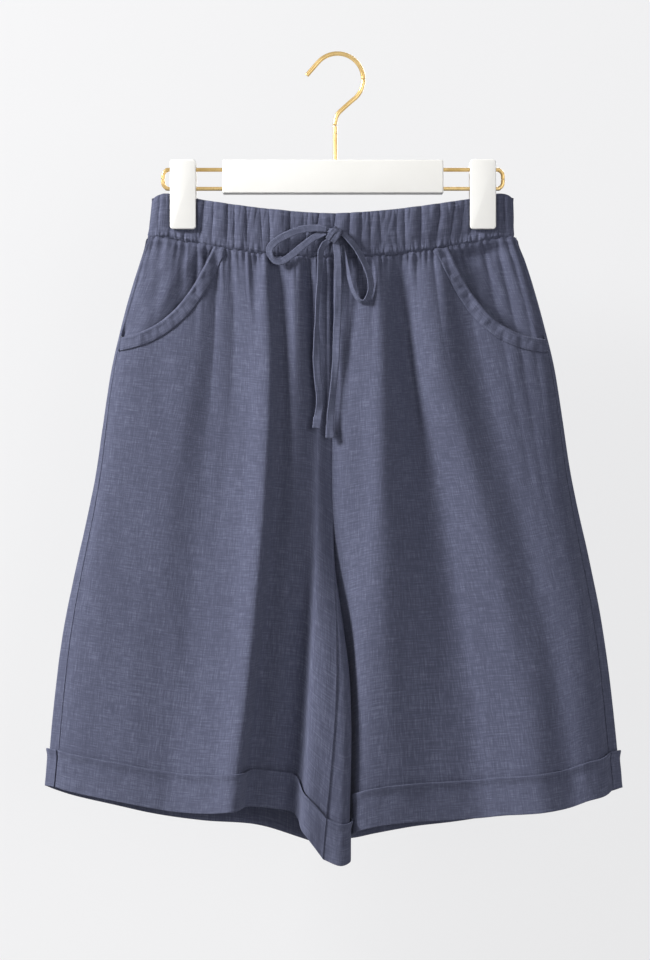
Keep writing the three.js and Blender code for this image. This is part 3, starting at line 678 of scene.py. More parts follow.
# creases below the waist seam: x at the seam, depth, half width, length, sideways drift
frontCreases = [
    (-108, 2.0, 8, 90, 0.0), (-94, 2.2, 6, 120, 0.0), (-82, 1.6, 4, 42, 0.02), (-71, 1.8, 4, 56, -0.02),
    (-50, 3.4, 6.5, 170, 0.0), (-38, 1.4, 4, 48, 0.0), (-23, 2.8, 6.5, 150, 0.0), (-9, 1.4, 4, 60, 0.0),
    (15, 2.2, 5, 60, 0.02), (33, 1.2, 3.5, 36, 0.02), (55, 2.4, 5.5, 95, 0.01),
    (65, 3.2, 5.5, 230, 0.0), (78, 1.6, 4.5, 40, 0.03), (90, 1.6, 4.5, 60, 0.02), (102, 1.4, 5, 60, 0.02),
]


def seamWave(x):
    return 0.5 * ripple(x / 2.1, x / 7, 5) + 0.55 * ripple(x / 0.85, x / 4, 8) - 0.4


def seamDepth(x):
    # where the legs' tops and the waistband's foot meet
    reach = np.abs(x)
    fall = np.cos(np.clip(reach / 125, 0, 1) * math.pi) * 0.5 + 0.5
    return (5.2 + 9.2 * fall ** 0.4) * np.sqrt(np.maximum(0, 1 - (reach / 174) ** 12))


def waistGathers(xTop, drop, salt):
    # small puffs pinched at the seam, that fade into longer soft folds
    small, index = puffs(xTop + 0.02 * drop * np.sin(xTop * 0.31), seamGathers, salt, 0.75)
    reach = np.array([9 + 30 * chance(k, salt + 1) ** 2 for k in range(len(seamGathers))])[index]
    fade = np.exp(-(drop / reach) ** 1.4) * (0.35 + 0.65 * smoothStep(0, 3, drop))
    longer, index = puffs(xTop + 0.03 * drop * np.sin(xTop * 0.05), longGathers, salt + 2, 0.9)
    reach = np.array([40 + 110 * chance(k, salt + 3) for k in range(len(longGathers))])[index]
    longFade = np.exp(-(drop / reach) ** 1.6) * smoothStep(0, 22, drop)
    pucker, _ = puffs(xTop + 0.08 * drop * np.sin(xTop * 0.9), seamPuckers, salt + 4, 0.8)
    pinch = 1.5 * pucker * np.exp(-drop / 6) * smoothStep(-0.6, 2.4, drop)
    tuck = 0.5 * np.exp(-(drop / 2.0) ** 2)
    return pinch + 2.5 * small * fade + 2.6 * longer * longFade - tuck - 0.9 * np.exp(-drop / 60)


def handCreases(xTop, drop, creases):
    move = np.zeros(np.broadcast(xTop, drop).shape)
    for place, depth, width, length, drift in creases:
        away = (xTop - place - drift * drop) / (width * (1 + drop / 160))
        fade = np.exp(-(drop / length) ** 2) * smoothStep(-2, 6, drop)
        move = move - depth * fade * (
            np.exp(-np.abs(away) ** 1.6) - 0.45 * np.exp(-((np.abs(away) - 1.9) / 0.9) ** 2)
        )
    return move


def drapeNoise(points, salt):
    # slow uneven swells, and faint crumples that run mostly down the cloth
    x, z = points[..., 0], points[..., 2]
    soft = 1.1 * ripple(x / 24, z / 110, salt)
    middle = 0.5 * ripple(x / 11 + 0.6 * np.sin(z / 70), z / 60, salt + 2)
    fine = 0.2 * ripple(x / 5.5, z / 17, salt + 4)
    return soft + middle + fine


panelDetail = {"rows": 132, "perLine": 20, "wall": 1.2}


panelHeights = np.linspace(0, 1, panelDetail["rows"]) ** 1.35  # closer rows at the waist


def panelPoints(lines, salt, creases=()):
    heights = panelHeights
    points = panelSurface(lines, heights, panelDetail["perLine"])
    normal = gridNormals(points)
    xTop = points[0, :, 0][None, :]
    drop = np.abs(points[:, :, 2] - points[0, :, 2][None, :])
    edge = np.minimum(np.arange(points.shape[1]), np.arange(points.shape[1])[::-1])
    calm = smoothStep(0, 9, edge)[None, :]
    hemCalm = 1 - 0.7 * smoothStep(0.86, 1.0, heights)[:, None]
    move = waistGathers(xTop, drop, salt) + handCreases(xTop, drop, creases)
    move = (move + drapeNoise(points, salt)) * calm * hemCalm
    face = np.sign(points[2, points.shape[1] // 2, 1])
    meet = face * (seamDepth(xTop) - 0.2) - points[..., 1]
    points = points + normal * move[..., None]
    points[..., 1] += meet * np.exp(-(drop / 15) ** 2)
    points[..., 2] += (seamWave(xTop) + 1.6) * np.exp(-(drop / 3) ** 2)  # tucked up under the waistband
    return points


def scoopEdge(corners, steps):
    a, b, c, d = (np.array(p, dtype=float) for p in corners)
    t = np.linspace(0, 1, steps)[:, None]
    return (1 - t) ** 3 * a + 3 * (1 - t) ** 2 * t * b + 3 * (1 - t) * t ** 2 * c + t ** 3 * d


pockets = {
    "right": [(-106.5, -171), (-127, -220), (-151, -264.5), (-214, -264.5)],
    "left": [(104, -176), (126, -226), (150, -271), (214, -264.5)],
    "band": 11.0,
    "lap": 9.0,
}


def offsetEdge(edge, side, margin):
    way = np.gradient(edge, axis=0)
    way /= np.linalg.norm(way, axis=1, keepdims=True)
    return edge + np.stack([way[:, 1], -way[:, 0]], axis=1) * margin * side


def insideScoop(x, z, edge, side):
    # True above and outside the opening edge
    order = np.argsort(edge[:, 0] * side)
    floor = np.interp(x * side, edge[order, 0] * side, edge[order, 1])
    return (x * side > edge[order[0], 0] * side) & (z > floor)


def fieldOf(points):
    verts = [Vector(p) for p in points.reshape(-1, 3)]
    rows, columns, _ = points.shape
    index = np.arange(rows * columns).reshape(rows, columns)
    quads = np.stack([index[:-1, :-1], index[1:, :-1], index[1:, 1:], index[:-1, 1:]], axis=2)
    return BVHTree.FromPolygons(verts, quads.reshape(-1, 4).tolist())


def frontAt(field, x, z, default=-6.0):
    hit, normal, _, _ = field.ray_cast(Vector((x, -200, z)), Vector((0, 1, 0)))
    if hit is None:
        return default, Vector((0, -1, 0))
    return hit.y, normal if normal.y < 0 else -normal


panelFields = {}


def frontPanel(side, lines, salt):
    name = side.capitalize()
    sign = -1 if side == "right" else 1
    points = panelPoints(lines, salt, frontCreases)
    panelFields[side] = fieldOf(points)
    edge = offsetEdge(scoopEdge(pockets[side], 60), sign, 2.5)
    centre = (points[:-1, :-1] + points[1:, 1:]) / 2
    hidden = insideScoop(centre[..., 0], centre[..., 2], edge, sign)
    piece = gridObject("frontPanel" + name, points, keep=~hidden)
    giveWall(piece, panelDetail["wall"])
    finishPiece(piece, ["front_panel_" + side], linen)
    return piece


def backPanel(side, lines, salt):
    name = side.capitalize()
    points = panelPoints(lines, salt)
    piece = gridObject("backPanel" + name, points)
    giveWall(piece, panelDetail["wall"])
    finishPiece(piece, ["back_panel_" + side], linen)
    return piece


frontPanel("right", rightFront, 1)
frontPanel("left", leftFront, 2)
backPanel("right", rightBack, 5)
backPanel("left", leftBack, 6)
print("leg panels made")


# pockets

# the pocket's inner piece: how far it lies behind the front, from side seam to opening
yokeSpots = np.linspace(0, 1, 41)
yokeFolds = {
    "right": np.interp(
        yokeSpots,
        (0, 0.06, 0.14, 0.3, 0.5, 0.68, 0.84, 1),
        (0.5, 1.6, 2.6, 1.2, 0.9, 3.6, 7.5, 9),
    ),
    "left": np.interp(yokeSpots, (0, 0.1, 0.3, 0.45, 0.6, 0.8, 1), (0.4, 1.2, 5.2, 6.8, 6.6, 4.6, 6)),
}
for fold in yokeFolds.values():
    for _ in range(6):
        fold[1:-1] = (fold[:-2] + 2 * fold[1:-1] + fold[2:]) / 4


def pocketYoke(side):
    sign = -1 if side == "right" else 1
    edge = offsetEdge(scoopEdge(pockets[side], 60), sign, pockets["lap"])
    lines = rightFront if side == "right" else leftFront
    seamLine = lines[0] if side == "right" else lines[-1]
    rows, columns = 70, 60
    low = edge[:, 1].min()
    grid = np.zeros((rows, columns, 3))
    top = waistHeight(waistSeam, seamLine[1][0]) - 0.3
    for i in range(rows):
        for j in range(columns):
            s = j / (columns - 1)
            drop = i / (rows - 1)
            v = (top - (top + (low - top) * drop)) / (top - seamLine[3])
            outerX = float(stageValue(seamLine[1], np.array([v]))[0]) * sign + 0.3
            order = np.argsort(edge[:, 1])
            height = top + (low - top) * drop
            innerX = float(np.interp(height, edge[order, 1], edge[order, 0] * sign))
            innerX = min(innerX, outerX - 2)
            x = (outerX + (innerX - outerX) * s) * sign
            seamZ = float(waistHeight(waistSeam, x) + seamWave(x)) + 1.2
            z = seamZ + (low - seamZ) * drop
            y, normal = frontAt(panelFields[side], x, min(z, seamZ - 1.6), -4.0)
            spot = s + 0.22 * (0.45 - drop) * math.sin(math.pi * s)
            depth = float(np.interp(spot, yokeSpots, yokeFolds[side]))
            depth += 0.6 * math.sin(s * 19 + 5 * drop + sign) * (1 - drop) * math.sin(math.pi * s)
            depth += 4 * float(smoothStep(0.7, 1, drop)) * math.exp(-((s - 0.07) / 0.05) ** 2)
            depth = depth * float(smoothStep(0, 14, seamZ - z)) - 0.4 * math.exp(-(seamZ - z) / 8)
            grid[i, j] = (x, y + max(depth, 0.1), z)
    if sign > 0:
        grid = grid[:, ::-1]
    piece = gridObject("pocketYoke" + side.capitalize(), grid)
    giveWall(piece, 1.1)
    finishPiece(piece, ["pocket_yoke_" + side], linen)
    return piece


def seamLimit(side, z):
    # half width of the front at a height
    line = rightFront[0] if side == "right" else leftFront[-1]
    top = float(waistHeight(waistSeam, line[1][0])) - 0.3
    v = np.clip((z - top) / (line[3] - top), 0, 1)
    return np.abs(stageValue(line[1], v))


def bandRing(side, width, steps):
    # one line of the pocket band, from the waist seam to the side seam
    sign = -1 if side == "right" else 1
    ring = offsetEdge(scoopEdge(pockets[side], 900), sign, width)
    below = ring[:, 1] < waistHeight(waistSeam, ring[:, 0]) - 0.2
    within = np.abs(ring[:, 0]) < seamLimit(side, ring[:, 1]) + 0.2
    ring = ring[below & within]
    length = np.concatenate([[0], np.cumsum(np.linalg.norm(np.diff(ring, axis=0), axis=1))])
    spot = np.linspace(0, length[-1], steps)
    return np.stack([np.interp(spot, length, ring[:, 0]), np.interp(spot, length, ring[:, 1])], axis=1)


def pocketBand(side):
    sign = -1 if side == "right" else 1
    steps = 240
    widths = np.array([0.0, 0.25, 0.8, 1.6, 3, 5, 7, 8.8, 9.6, 10.3, 11.0]) / 11.0 * pockets["band"]
    lift = np.array([-0.3, 0.7, 1.15, 0.8, 0.5, 0.5, 0.5, 0.35, 0.2, 0.05, -0.3])
    grid = np.zeros((steps, len(widths), 3))
    reach = np.arange(-9, 10)
    soften = np.exp(-(reach / 5.0) ** 2)
    for j, (width, up) in enumerate(zip(widths, lift)):
        ring = bandRing(side, width, steps)
        under = np.array([frontAt(panelFields[side], x, z)[0] for x, z in ring])
        if width < 9:
            padded = np.pad(under, 9, mode="edge")
            eased = np.convolve(padded, soften / soften.sum(), mode="valid")
            under = np.minimum(eased, under + 0.3)
        for i, (x, z) in enumerate(ring):
            y = under[i]
            along = i / steps * 150
            ends = float(smoothStep(0, 0.03, 1 - i / (steps - 1)))
            pucker = 1.0 * float(ripple(along / 2.7 + 0.12 * width, width / 5, 7 + sign))
            pucker = max(pucker, -0.4) * math.sin(math.pi * min(width / 11, 1)) * ends
            grid[i, j] = (x, y - up * (0.25 + 0.75 * ends) - pucker, z)
    if sign < 0:
        grid = grid[:, ::-1]
    piece = gridObject("pocketBand" + side.capitalize(), np.ascontiguousarray(grid))
    giveWall(piece, 1.2)
    finishPiece(piece, ["pocket_binding_" + side], cuffLinen)
    return piece


for side in ("right", "left"):
    pocketYoke(side)
    pocketBand(side)
print("pockets made")


# cuffs

cuff = {"height": 34.0, "wall": 2.0, "lift": 1.6}


def cuffPiece(side, face, lines, salt):
    rows = 30
    points = panelPoints(lines, salt, frontCreases if face == "front" else ())
    heights = panelHeights
    start = 1 - cuff["height"] / 500
    pick = np.linspace(start, 1, rows)
    band = np.zeros((rows, points.shape[1], 3))
    for axis in range(3):
        for column in range(points.shape[1]):
            band[:, column, axis] = np.interp(pick, heights, points[:, column, axis])
    normal = gridNormals(band)
    level = np.linspace(0, 1, rows)[:, None]
    along = np.cumsum(np.linalg.norm(np.diff(band[0], axis=0), axis=1))
    along = np.concatenate([[0], along])[None, :]
    stand = 1.7 * np.exp(-(level / 0.14) ** 2)
    edge = np.minimum(np.arange(band.shape[1]), np.arange(band.shape[1])[::-1])
    calm = smoothStep(0, 6, edge)[None, :]
    pucker = 0.35 * ripple(along / 7.5, level * 2.2, salt) + 0.2 * ripple(along / 3.1, level * 5, salt + 3)
    move = cuff["lift"] + stand + pucker * calm
    band = band + normal * move[..., None]
    name = "cuff" + face.capitalize() + side.capitalize()
    piece = gridObject(name, band)
    giveWall(piece, 1.3)
    bevel = piece.modifiers.new("fold", "BEVEL")
    bevel.width = 0.45 * mm
    bevel.segments = 2
    bevel.limit_method = "ANGLE"
    bevel.angle_limit = math.radians(60)
    applyAll(piece)
    activate(piece)
    bpy.ops.object.shade_smooth_by_angle(angle=math.radians(60))
    finishPiece(piece, ["cuff_" + face + "_" + side], cuffLinen)
    return piece


cuffPiece("right", "front", rightFront, 1)
cuffPiece("left", "front", leftFront, 2)
cuffPiece("right", "back", rightBack, 5)
cuffPiece("left", "back", leftBack, 6)
print("cuffs made")


# waistband

waistband = {
    "wall": 2.6,
    "pinchFrom": 125.0,
    "pinchTo": 153.0,
    "flat": 4.8,
    "deep": 16.5,
    "topSide": (167.0, 166.5),
    "seamSide": (171.5, 167.5),
}
bandFolds = foldEdges(-260, 260, 6, 19, 21)
bandSplits = foldEdges(-260, 260, 5, 13, 57)


def bandDepth(x):
    reach = np.abs(x)
    fall = np.cos(np.clip(reach / waistband["pinchFrom"], 0, 1) * math.pi) * 0.5 + 0.5
    inner = waistband["flat"] + (waistband["deep"] - waistband["flat"]) * fall ** 0.35
    beyond = np.clip((reach - waistband["pinchTo"]) / 22, 0, 1)
    return inner + 1.6 * np.sin(math.pi * beyond)


def bandPath(right, left):
    t = np.linspace(-1, 1, 4001)
    side = np.where(t < 0, right, left)
    x = side * np.sin(t * math.pi / 2)
    y = bandDepth(x) * np.sqrt(np.maximum(0, 1 - (np.abs(x) / side) ** 12)) + 0.15
    length = np.concatenate([[0], np.cumsum(np.hypot(np.diff(x), np.diff(y)))])
    return x, y, length


def makeBand(name, node, sign, salt):
    columns = 640
    levels = 1 - np.linspace(0, 1, 36) ** 1.15
    rows = []
    for level in levels:
        right, left = (a + (b - a) * level for a, b in zip(waistband["topSide"], waistband["seamSide"]))
        x, y, length = bandPath(right, left)
        spot = np.linspace(0, length[-1], columns)
        px, py = np.interp(spot, length, x), np.interp(spot, length, y)
        nx, ny = np.gradient(py), -np.gradient(px)
        size = np.hypot(nx, ny)
        nx, ny = nx / size, ny / size
        middle = spot - length[-1] / 2
        slant = 5.5 * ripple(middle / 26, middle / 50, salt) * (level - 0.5)
        fold, index = puffs(middle + slant, bandFolds, salt, 0.5)
        width = np.diff(bandFolds)[index]
        high, _ = puffs(middle - 1.5 * slant, bandSplits, salt + 3, 0.7)
        low, _ = puffs(middle + 2 * slant + 4, bandSplits, salt + 6, 0.7)
        small, _ = puffs(middle, seamGathers, salt + 2, 0.7)
        pucker, _ = puffs(px, seamPuckers, salt + 4, 0.8)
        swell = 0.23 * np.minimum(width, 15) * fold * (0.8 + 0.2 * math.sin(math.pi * level))
        swell *= 1 - 0.55 * smoothStep(0.5, 0.95, level)
        swell += 0.8 * high * smoothStep(0.55, 0.1, level) + 0.5 * low * smoothStep(0.4, 0.85, level)
        swell += 0.7 * small * smoothStep(0.7, 0.88, level) + 0.9 * pucker * smoothStep(0.78, 0.94, level)
        swell *= 1 - smoothStep(0.93, 1.0, level)
        swell -= 1.0 * (1 - smoothStep(0.0, 0.1, level)) + 0.6
        swell += 0.3 * ripple(middle / 4, level * 6, salt + 8)
        clipped = np.maximum(smoothStep(11.5, 15, np.abs(np.abs(px) - 139)), smoothStep(0.72, 0.86, level))
        swell = swell * (0.12 + 0.88 * clipped) - 0.4 * (1 - clipped)
        # outward is away from the hollow
        outX, outY = -nx, -ny
        flip = np.sign(outY[columns // 2]) or 1
        outX, outY = outX * flip, outY * flip
        top = waistHeight(waistTop, px) - 0.035 * np.maximum(0, np.abs(px) - 156) ** 2
        z = top + (waistHeight(waistSeam, px) - top) * level + seamWave(px) * level ** 6
        foot = smoothStep(0.55, 1.0, level)
        swell = swell * (0.35 + 0.65 * smoothStep(0, 8, np.minimum(px + right, left - px)))
        depth = py + (seamDepth(px) + 0.3 - py) * foot + outY * swell
        rows.append(np.stack([px + outX * swell, sign * depth, z], axis=1))
    outer = np.stack(rows[::-1], axis=0)
    if sign > 0:
        outer = outer[:, ::-1]
    inner = bandLining(outer, sign)
    shell = np.concatenate([outer[::-1], inner], axis=0)
    piece = gridObject(name, np.ascontiguousarray(shell[::-1]))
    giveWall(piece, 0.8)
    finishPiece(piece, [node], linen)
    return piece


def bandLining(outer, sign):
    # over the top edge and down inside
    top = outer[0]
    rows = []
    for turn in (0.3, 0.6, 0.85):
        angle = turn * math.pi
        lift = 0.9 * math.sin(angle)
        back = 0.9 * (1 - math.cos(angle))
        rows.append(top + np.stack([np.zeros(len(top)), np.full(len(top), -sign * back),
                                    np.full(len(top), lift)], axis=1))
    base = outer.copy()
    keepOff = np.abs(base[..., 1])
    inside = np.maximum(keepOff - waistband["wall"] + 0.6, 0.35)
    inside = np.minimum(inside, keepOff)
    for row in range(2, len(outer), 4):
        ring = base[row].copy()
        ring[:, 1] = sign * inside[row]
        rows.append(ring)
    return np.stack(rows, axis=0)


for name, node, sign, salt in (("waistbandFront", "waistband_front", -1, 31),
                               ("waistbandBack", "waistband_back", 1, 47)):
    band = makeBand(name, node, sign, salt)
print("waistband made")


# knot

knot = {
    "centre": (0.9, -22.8, -168.9),
    "core": (6.0, 3.3, 5.2),
    # each wrap: lean in degrees, sideways shift, width, reach along, reach out
    "wraps": [(64, -2.7, 5.0, 6.5, 4.2), (50, 2.5, 4.8, 6.6, 4.7), (-14, 3.4, 3.8, 6.6, 3.9)],
}


def knotWrap(lean, shift, width, along, out):
    # a ring of tape round the knot, in millimetres
    around = np.linspace(0, 2 * math.pi, 64, endpoint=False)
    way = np.array([math.cos(math.radians(lean)), 0, math.sin(math.radians(lean))])
    across = np.array([-way[2], 0, way[0]])
    sectionX, sectionY = tapeSection(width, 1.5)
    rings = []
    for angle in around:
        spoke = way * math.cos(angle) * along + np.array([0, -1, 0]) * math.sin(angle) * out
        bend = shift * (1 - 0.25 * abs(math.cos(angle)))
        outward = spoke / np.linalg.norm(spoke)
        rings.append(np.array(knot["centre"]) + spoke + across * bend
                     + sectionX[:, None] * across[None, :] + sectionY[:, None] * outward[None, :])
    rings.append(rings[0])
    return np.array(rings)


def makeKnot():
    around = np.linspace(0, 2 * math.pi, 33)
    rise = np.linspace(-math.pi / 2 + 0.05, math.pi / 2 - 0.05, 17)
    core = np.array([[(math.cos(r) * math.cos(a), math.cos(r) * math.sin(a), math.sin(r)) for a in around]
                     for r in rise])
    core = core * np.array(knot["core"]) + np.array(knot["centre"])
    parts = [gridObject("knotCore", core)]
    for index, wrap in enumerate(knot["wraps"]):
        rings = knotWrap(*wrap)
        girth = np.linspace(0, 0.016, rings.shape[1], endpoint=False)
        run = np.linspace(0, 0.036, len(rings))
        parts.append(gridObject("knotWrap" + str(index), rings, closed=True,
                                uv=np.stack(np.meshgrid(girth, run), axis=2)))
    activate(parts[0])
    for part in parts:
        part.select_set(True)
    bpy.ops.object.join()
    piece = bpy.context.object
    piece.name = "tapeKnot"
    bpy.ops.object.mode_set(mode="EDIT")
    bpy.ops.mesh.select_all(action="SELECT")
    bpy.ops.mesh.remove_doubles(threshold=0.00001)
    bpy.ops.mesh.normals_make_consistent(inside=False)
    bpy.ops.object.mode_set(mode="OBJECT")
    bpy.ops.object.shade_smooth()
    return finishPiece(piece, ["tie_knot"], tapeLinen)


makeKnot()
print("knot made")


# hanger

hanger = {
    "hookWire": 4.2,
    "hookRadius": 24.0,
    "railWire": 3.7,
    "barWidth": 205.0,
    "barHeight": 31.0,
    "barDepth": 14.0,
    "barTop": -97.5,
    "railUpper": -106.0,
    "railLower": -123.7,
    "railReach": 158.0,
    "railCorner": 6.0,
    "socket": 14.0,
    "clipCentre": 139.0,
    "clipWidth": 24.0,
    "clipTop": -97.5,
    "clipBottom": -162.0,
    "jaw": 4.6,
    "gap": 10.6,
}


def wirePiece(name, points, diameter):
    bpy.ops.object.select_all(action="DESELECT")
    bpy.ops.curve.primitive_nurbs_path_add(location=(0, 0, 0))
    wire = bpy.context.object
    wire.name = name
    curve = wire.data
    curve.splines.clear()
    spline = curve.splines.new("POLY")
    path = smoothPath([np.array(p) * mm for p in points], 8)
    spline.points.add(len(path) - 1)
    for point, place in zip(spline.points, path):
        point.co = (place[0] + shiftX * mm, place[1], place[2], 1)
    curve.dimensions = "3D"
    curve.twist_mode = "Z_UP"
    curve.bevel_depth = diameter / 2 * mm
    curve.bevel_resolution = 6
    curve.use_fill_caps = True
    activate(wire)
    bpy.ops.object.convert(target="MESH")
    wire = bpy.context.object
    bpy.ops.object.mode_set(mode="EDIT")
    bpy.ops.mesh.select_all(action="SELECT")
    bpy.ops.mesh.remove_doubles(threshold=0.00001)
    bpy.ops.mesh.normals_make_consistent(inside=False)
    bpy.ops.object.mode_set(mode="OBJECT")
    bevel = wire.modifiers.new("ends", "BEVEL")
    bevel.width = 0.4 * mm
    bevel.segments = 2
    bevel.limit_method = "ANGLE"
    bevel.angle_limit = math.radians(60)
    applyAll(wire)
    bpy.ops.object.shade_smooth_by_angle(angle=math.radians(50))
    return wire


def makeHook():
    centreX = -shiftX
    centreZ = -hanger["hookRadius"] + hanger["hookWire"] / 2
    radius = hanger["hookRadius"]

    def onArc(degrees):
        angle = math.radians(degrees)
        return (centreX + radius * math.cos(angle), 0, centreZ + radius * math.sin(angle))

    start = onArc(139)
    way = (-math.sin(math.radians(139)), math.cos(math.radians(139)))
    points = [
        (start[0] + way[0] * 16, 0, start[2] + way[1] * 16),
        (start[0] + way[0] * 8, 0, start[2] + way[1] * 8),
    ]
    points += [onArc(degrees) for degrees in range(139, -57, -13)]
    stem = 2.0
    points += [
        (9.5, 0, -49), (4.2, 0, -54.6), (stem, 0, -62),
        (stem, 0, -72), (stem, 0, -85), (stem, 0, -106.5),
    ]
    hook = wirePiece("hookWire", points, hanger["hookWire"])
    return finishPiece(hook, ["hanger_hook"], brass)


def makeRail(side, name):
    inner = hanger["barWidth"] / 2 - hanger["socket"]
    reach, corner = hanger["railReach"], hanger["railCorner"]
    upper, lower = hanger["railUpper"], hanger["railLower"]
    points = [
        (inner, 0, upper), (inner + 20, 0, upper),
        ((inner + reach) / 2, 0, upper), (reach - corner, 0, upper),
    ]
    for turn in range(1, 5):
        angle = turn / 4 * math.pi / 2
        points.append((
            reach - corner + corner * math.sin(angle), 0,
            upper - corner + corner * math.cos(angle),
        ))
    for turn in range(5):
        angle = turn / 4 * math.pi / 2
        points.append((
            reach - corner + corner * math.cos(angle), 0,
            lower + corner - corner * math.sin(angle),
        ))
    points += [((inner + reach) / 2, 0, lower), (inner + 20, 0, lower), (inner, 0, lower)]
    rail = wirePiece("rail" + name, [(side * x, y, z) for x, y, z in points], hanger["railWire"])
    return finishPiece(rail, ["rail_" + name.lower()], brass)


def block(name, size, centre, cornerRound, edgeRound):
    bpy.ops.object.select_all(action="DESELECT")
    place = Vector(((centre[0] + shiftX) * mm, centre[1] * mm, centre[2] * mm))
    bpy.ops.mesh.primitive_cube_add(size=1, location=place)
    piece = bpy.context.object
    piece.name = name
    piece.scale = tuple(s * mm for s in size)
    bpy.ops.object.transform_apply(location=True, rotation=True, scale=True)
    bpy.ops.object.mode_set(mode="EDIT")
    bpy.ops.mesh.select_all(action="DESELECT")
    bpy.ops.object.mode_set(mode="OBJECT")
    for edge in piece.data.edges:
        a, b = (piece.data.vertices[i].co for i in edge.vertices)
        edge.select = abs(a.y - b.y) > 0.5 * size[1] * mm
    if cornerRound:
        bpy.ops.object.mode_set(mode="EDIT")
        bpy.ops.mesh.select_mode(type="EDGE")
        bpy.ops.mesh.bevel(offset=cornerRound * mm, segments=6)
        bpy.ops.object.mode_set(mode="OBJECT")
    bevel = piece.modifiers.new("edges", "BEVEL")
    bevel.width = edgeRound * mm
    bevel.segments = 3
    bevel.limit_method = "ANGLE"
    bevel.angle_limit = math.radians(50)
    applyAll(piece)
    bpy.ops.object.shade_smooth_by_angle(angle=math.radians(40))
    return piece


def drill(piece, radius, start, end):
    bpy.ops.object.select_all(action="DESELECT")
    a = Vector(((start[0] + shiftX) * mm, start[1] * mm, start[2] * mm))
    b = Vector(((end[0] + shiftX) * mm, end[1] * mm, end[2] * mm))
    way = b - a
    turn = way.to_track_quat("Z", "Y").to_euler()
    bpy.ops.mesh.primitive_cylinder_add(vertices=32, radius=radius * mm, depth=way.length,
                                        location=(a + b) / 2, rotation=turn)
    tool = bpy.context.object
    cut = piece.modifiers.new("hole", "BOOLEAN")
    cut.operation = "DIFFERENCE"
    cut.solver = "EXACT"
    cut.object = tool
    applyAll(piece)
    bpy.data.objects.remove(tool, do_unlink=True)


def makeBar():
    z = hanger["barTop"] - hanger["barHeight"] / 2
    bar = block(
        "hangerBar", (hanger["barWidth"], hanger["barDepth"], hanger["barHeight"]),
        (0, 0, z), 1.2, 0.7,
    )
    drill(bar, hanger["hookWire"] / 2 + 0.3, (2, 0, hanger["barTop"] + 1), (2, 0, hanger["barTop"] - 9.4))
    for side in (-1, 1):
        for height in (hanger["railUpper"], hanger["railLower"]):
            outside = (side * (hanger["barWidth"] / 2 + 1), 0, height)
            inside = (side * (hanger["barWidth"] / 2 - hanger["socket"] - 0.4), 0, height)
            drill(bar, hanger["railWire"] / 2 + 0.3, outside, inside)
    return finishPiece(bar, ["hanger_bar"], offWhite)


def makeClip(side, name):
    middle = (hanger["clipTop"] + hanger["clipBottom"]) / 2
    height = hanger["clipTop"] - hanger["clipBottom"]
    away = hanger["gap"] / 2 + hanger["jaw"] / 2
    x = side * hanger["clipCentre"]
    front = block(
        "clipFront" + name, (hanger["clipWidth"], hanger["jaw"], height),
        (x, -away, middle), 3, 0.8,
    )
    finishPiece(front, ["clip_front_" + name.lower()], offWhite)
    rear = block(
        "clipRear" + name, (hanger["clipWidth"], hanger["jaw"], height - 8),
        (x, away, middle + 4), 3, 0.8,
    )
    finishPiece(rear, ["clip_rear_" + name.lower()], offWhite)
    top, bottom = hanger["railUpper"] + 6, hanger["railLower"] - 4
    slider = block("clipSlider" + name, (hanger["clipWidth"] - 4, hanger["gap"] - 0.6, top - bottom),
                   (x, 0, (top + bottom) / 2), 1, 0.5)
    for level in (hanger["railUpper"], hanger["railLower"]):
        drill(slider, hanger["railWire"] / 2 + 0.3, (x - 20, 0, level), (x + 20, 0, level))
    finishPiece(slider, ["clip_slider_" + name.lower()], offWhite)


makeHook()
makeRail(-1, "Right")
makeRail(1, "Left")
makeBar()
makeClip(-1, "Right")
makeClip(1, "Left")
print("hanger made")


# stitches

def stitchMesh(name, routes, length, gap, radius):
    verts, faces = [], []
    for route in routes:
        route = np.array(route)
        steps = np.concatenate([[0], np.cumsum(np.linalg.norm(np.diff(route, axis=0), axis=1))])
        place = 0.0
        while place + length < steps[-1]:
            ends = [np.array([np.interp(place + length * t, steps, route[:, axis]) for axis in range(3)])
                    for t in (0, 0.2, 0.5, 0.8, 1)]
            way = ends[-1] - ends[0]
            way /= np.linalg.norm(way)
            side = np.cross(way, [0, 1, 0])
            side /= np.linalg.norm(side)
            up = np.cross(side, way)
            base = len(verts)
            for end, size in zip(ends, (0.25, 0.85, 1, 0.85, 0.25)):
                for k in range(6):
                    angle = k / 6 * 2 * math.pi
                    verts.append(end + (side * math.cos(angle) + up * math.sin(angle)) * radius * size)
            for ring in range(4):
                for k in range(6):
                    a = base + ring * 6 + k
                    b = base + ring * 6 + (k + 1) % 6
                    faces.append((a, b, b + 6, a + 6))
            faces.append(tuple(base + k for k in reversed(range(6))))
            faces.append(tuple(base + 24 + k for k in range(6)))
            place += length + gap
    mesh = bpy.data.meshes.new(name)
    mesh.from_pydata([tuple((v + np.array([shiftX, 0, 0])) * mm) for v in verts], [], faces)
    piece = bpy.data.objects.new(name, mesh)
    bpy.context.scene.collection.objects.link(piece)
    activate(piece)
    bpy.ops.object.mode_set(mode="EDIT")
    bpy.ops.mesh.select_all(action="SELECT")
    bpy.ops.mesh.normals_make_consistent(inside=False)
    bpy.ops.object.mode_set(mode="OBJECT")
    bpy.ops.object.shade_smooth()
    return finishPiece(piece, [], thread)


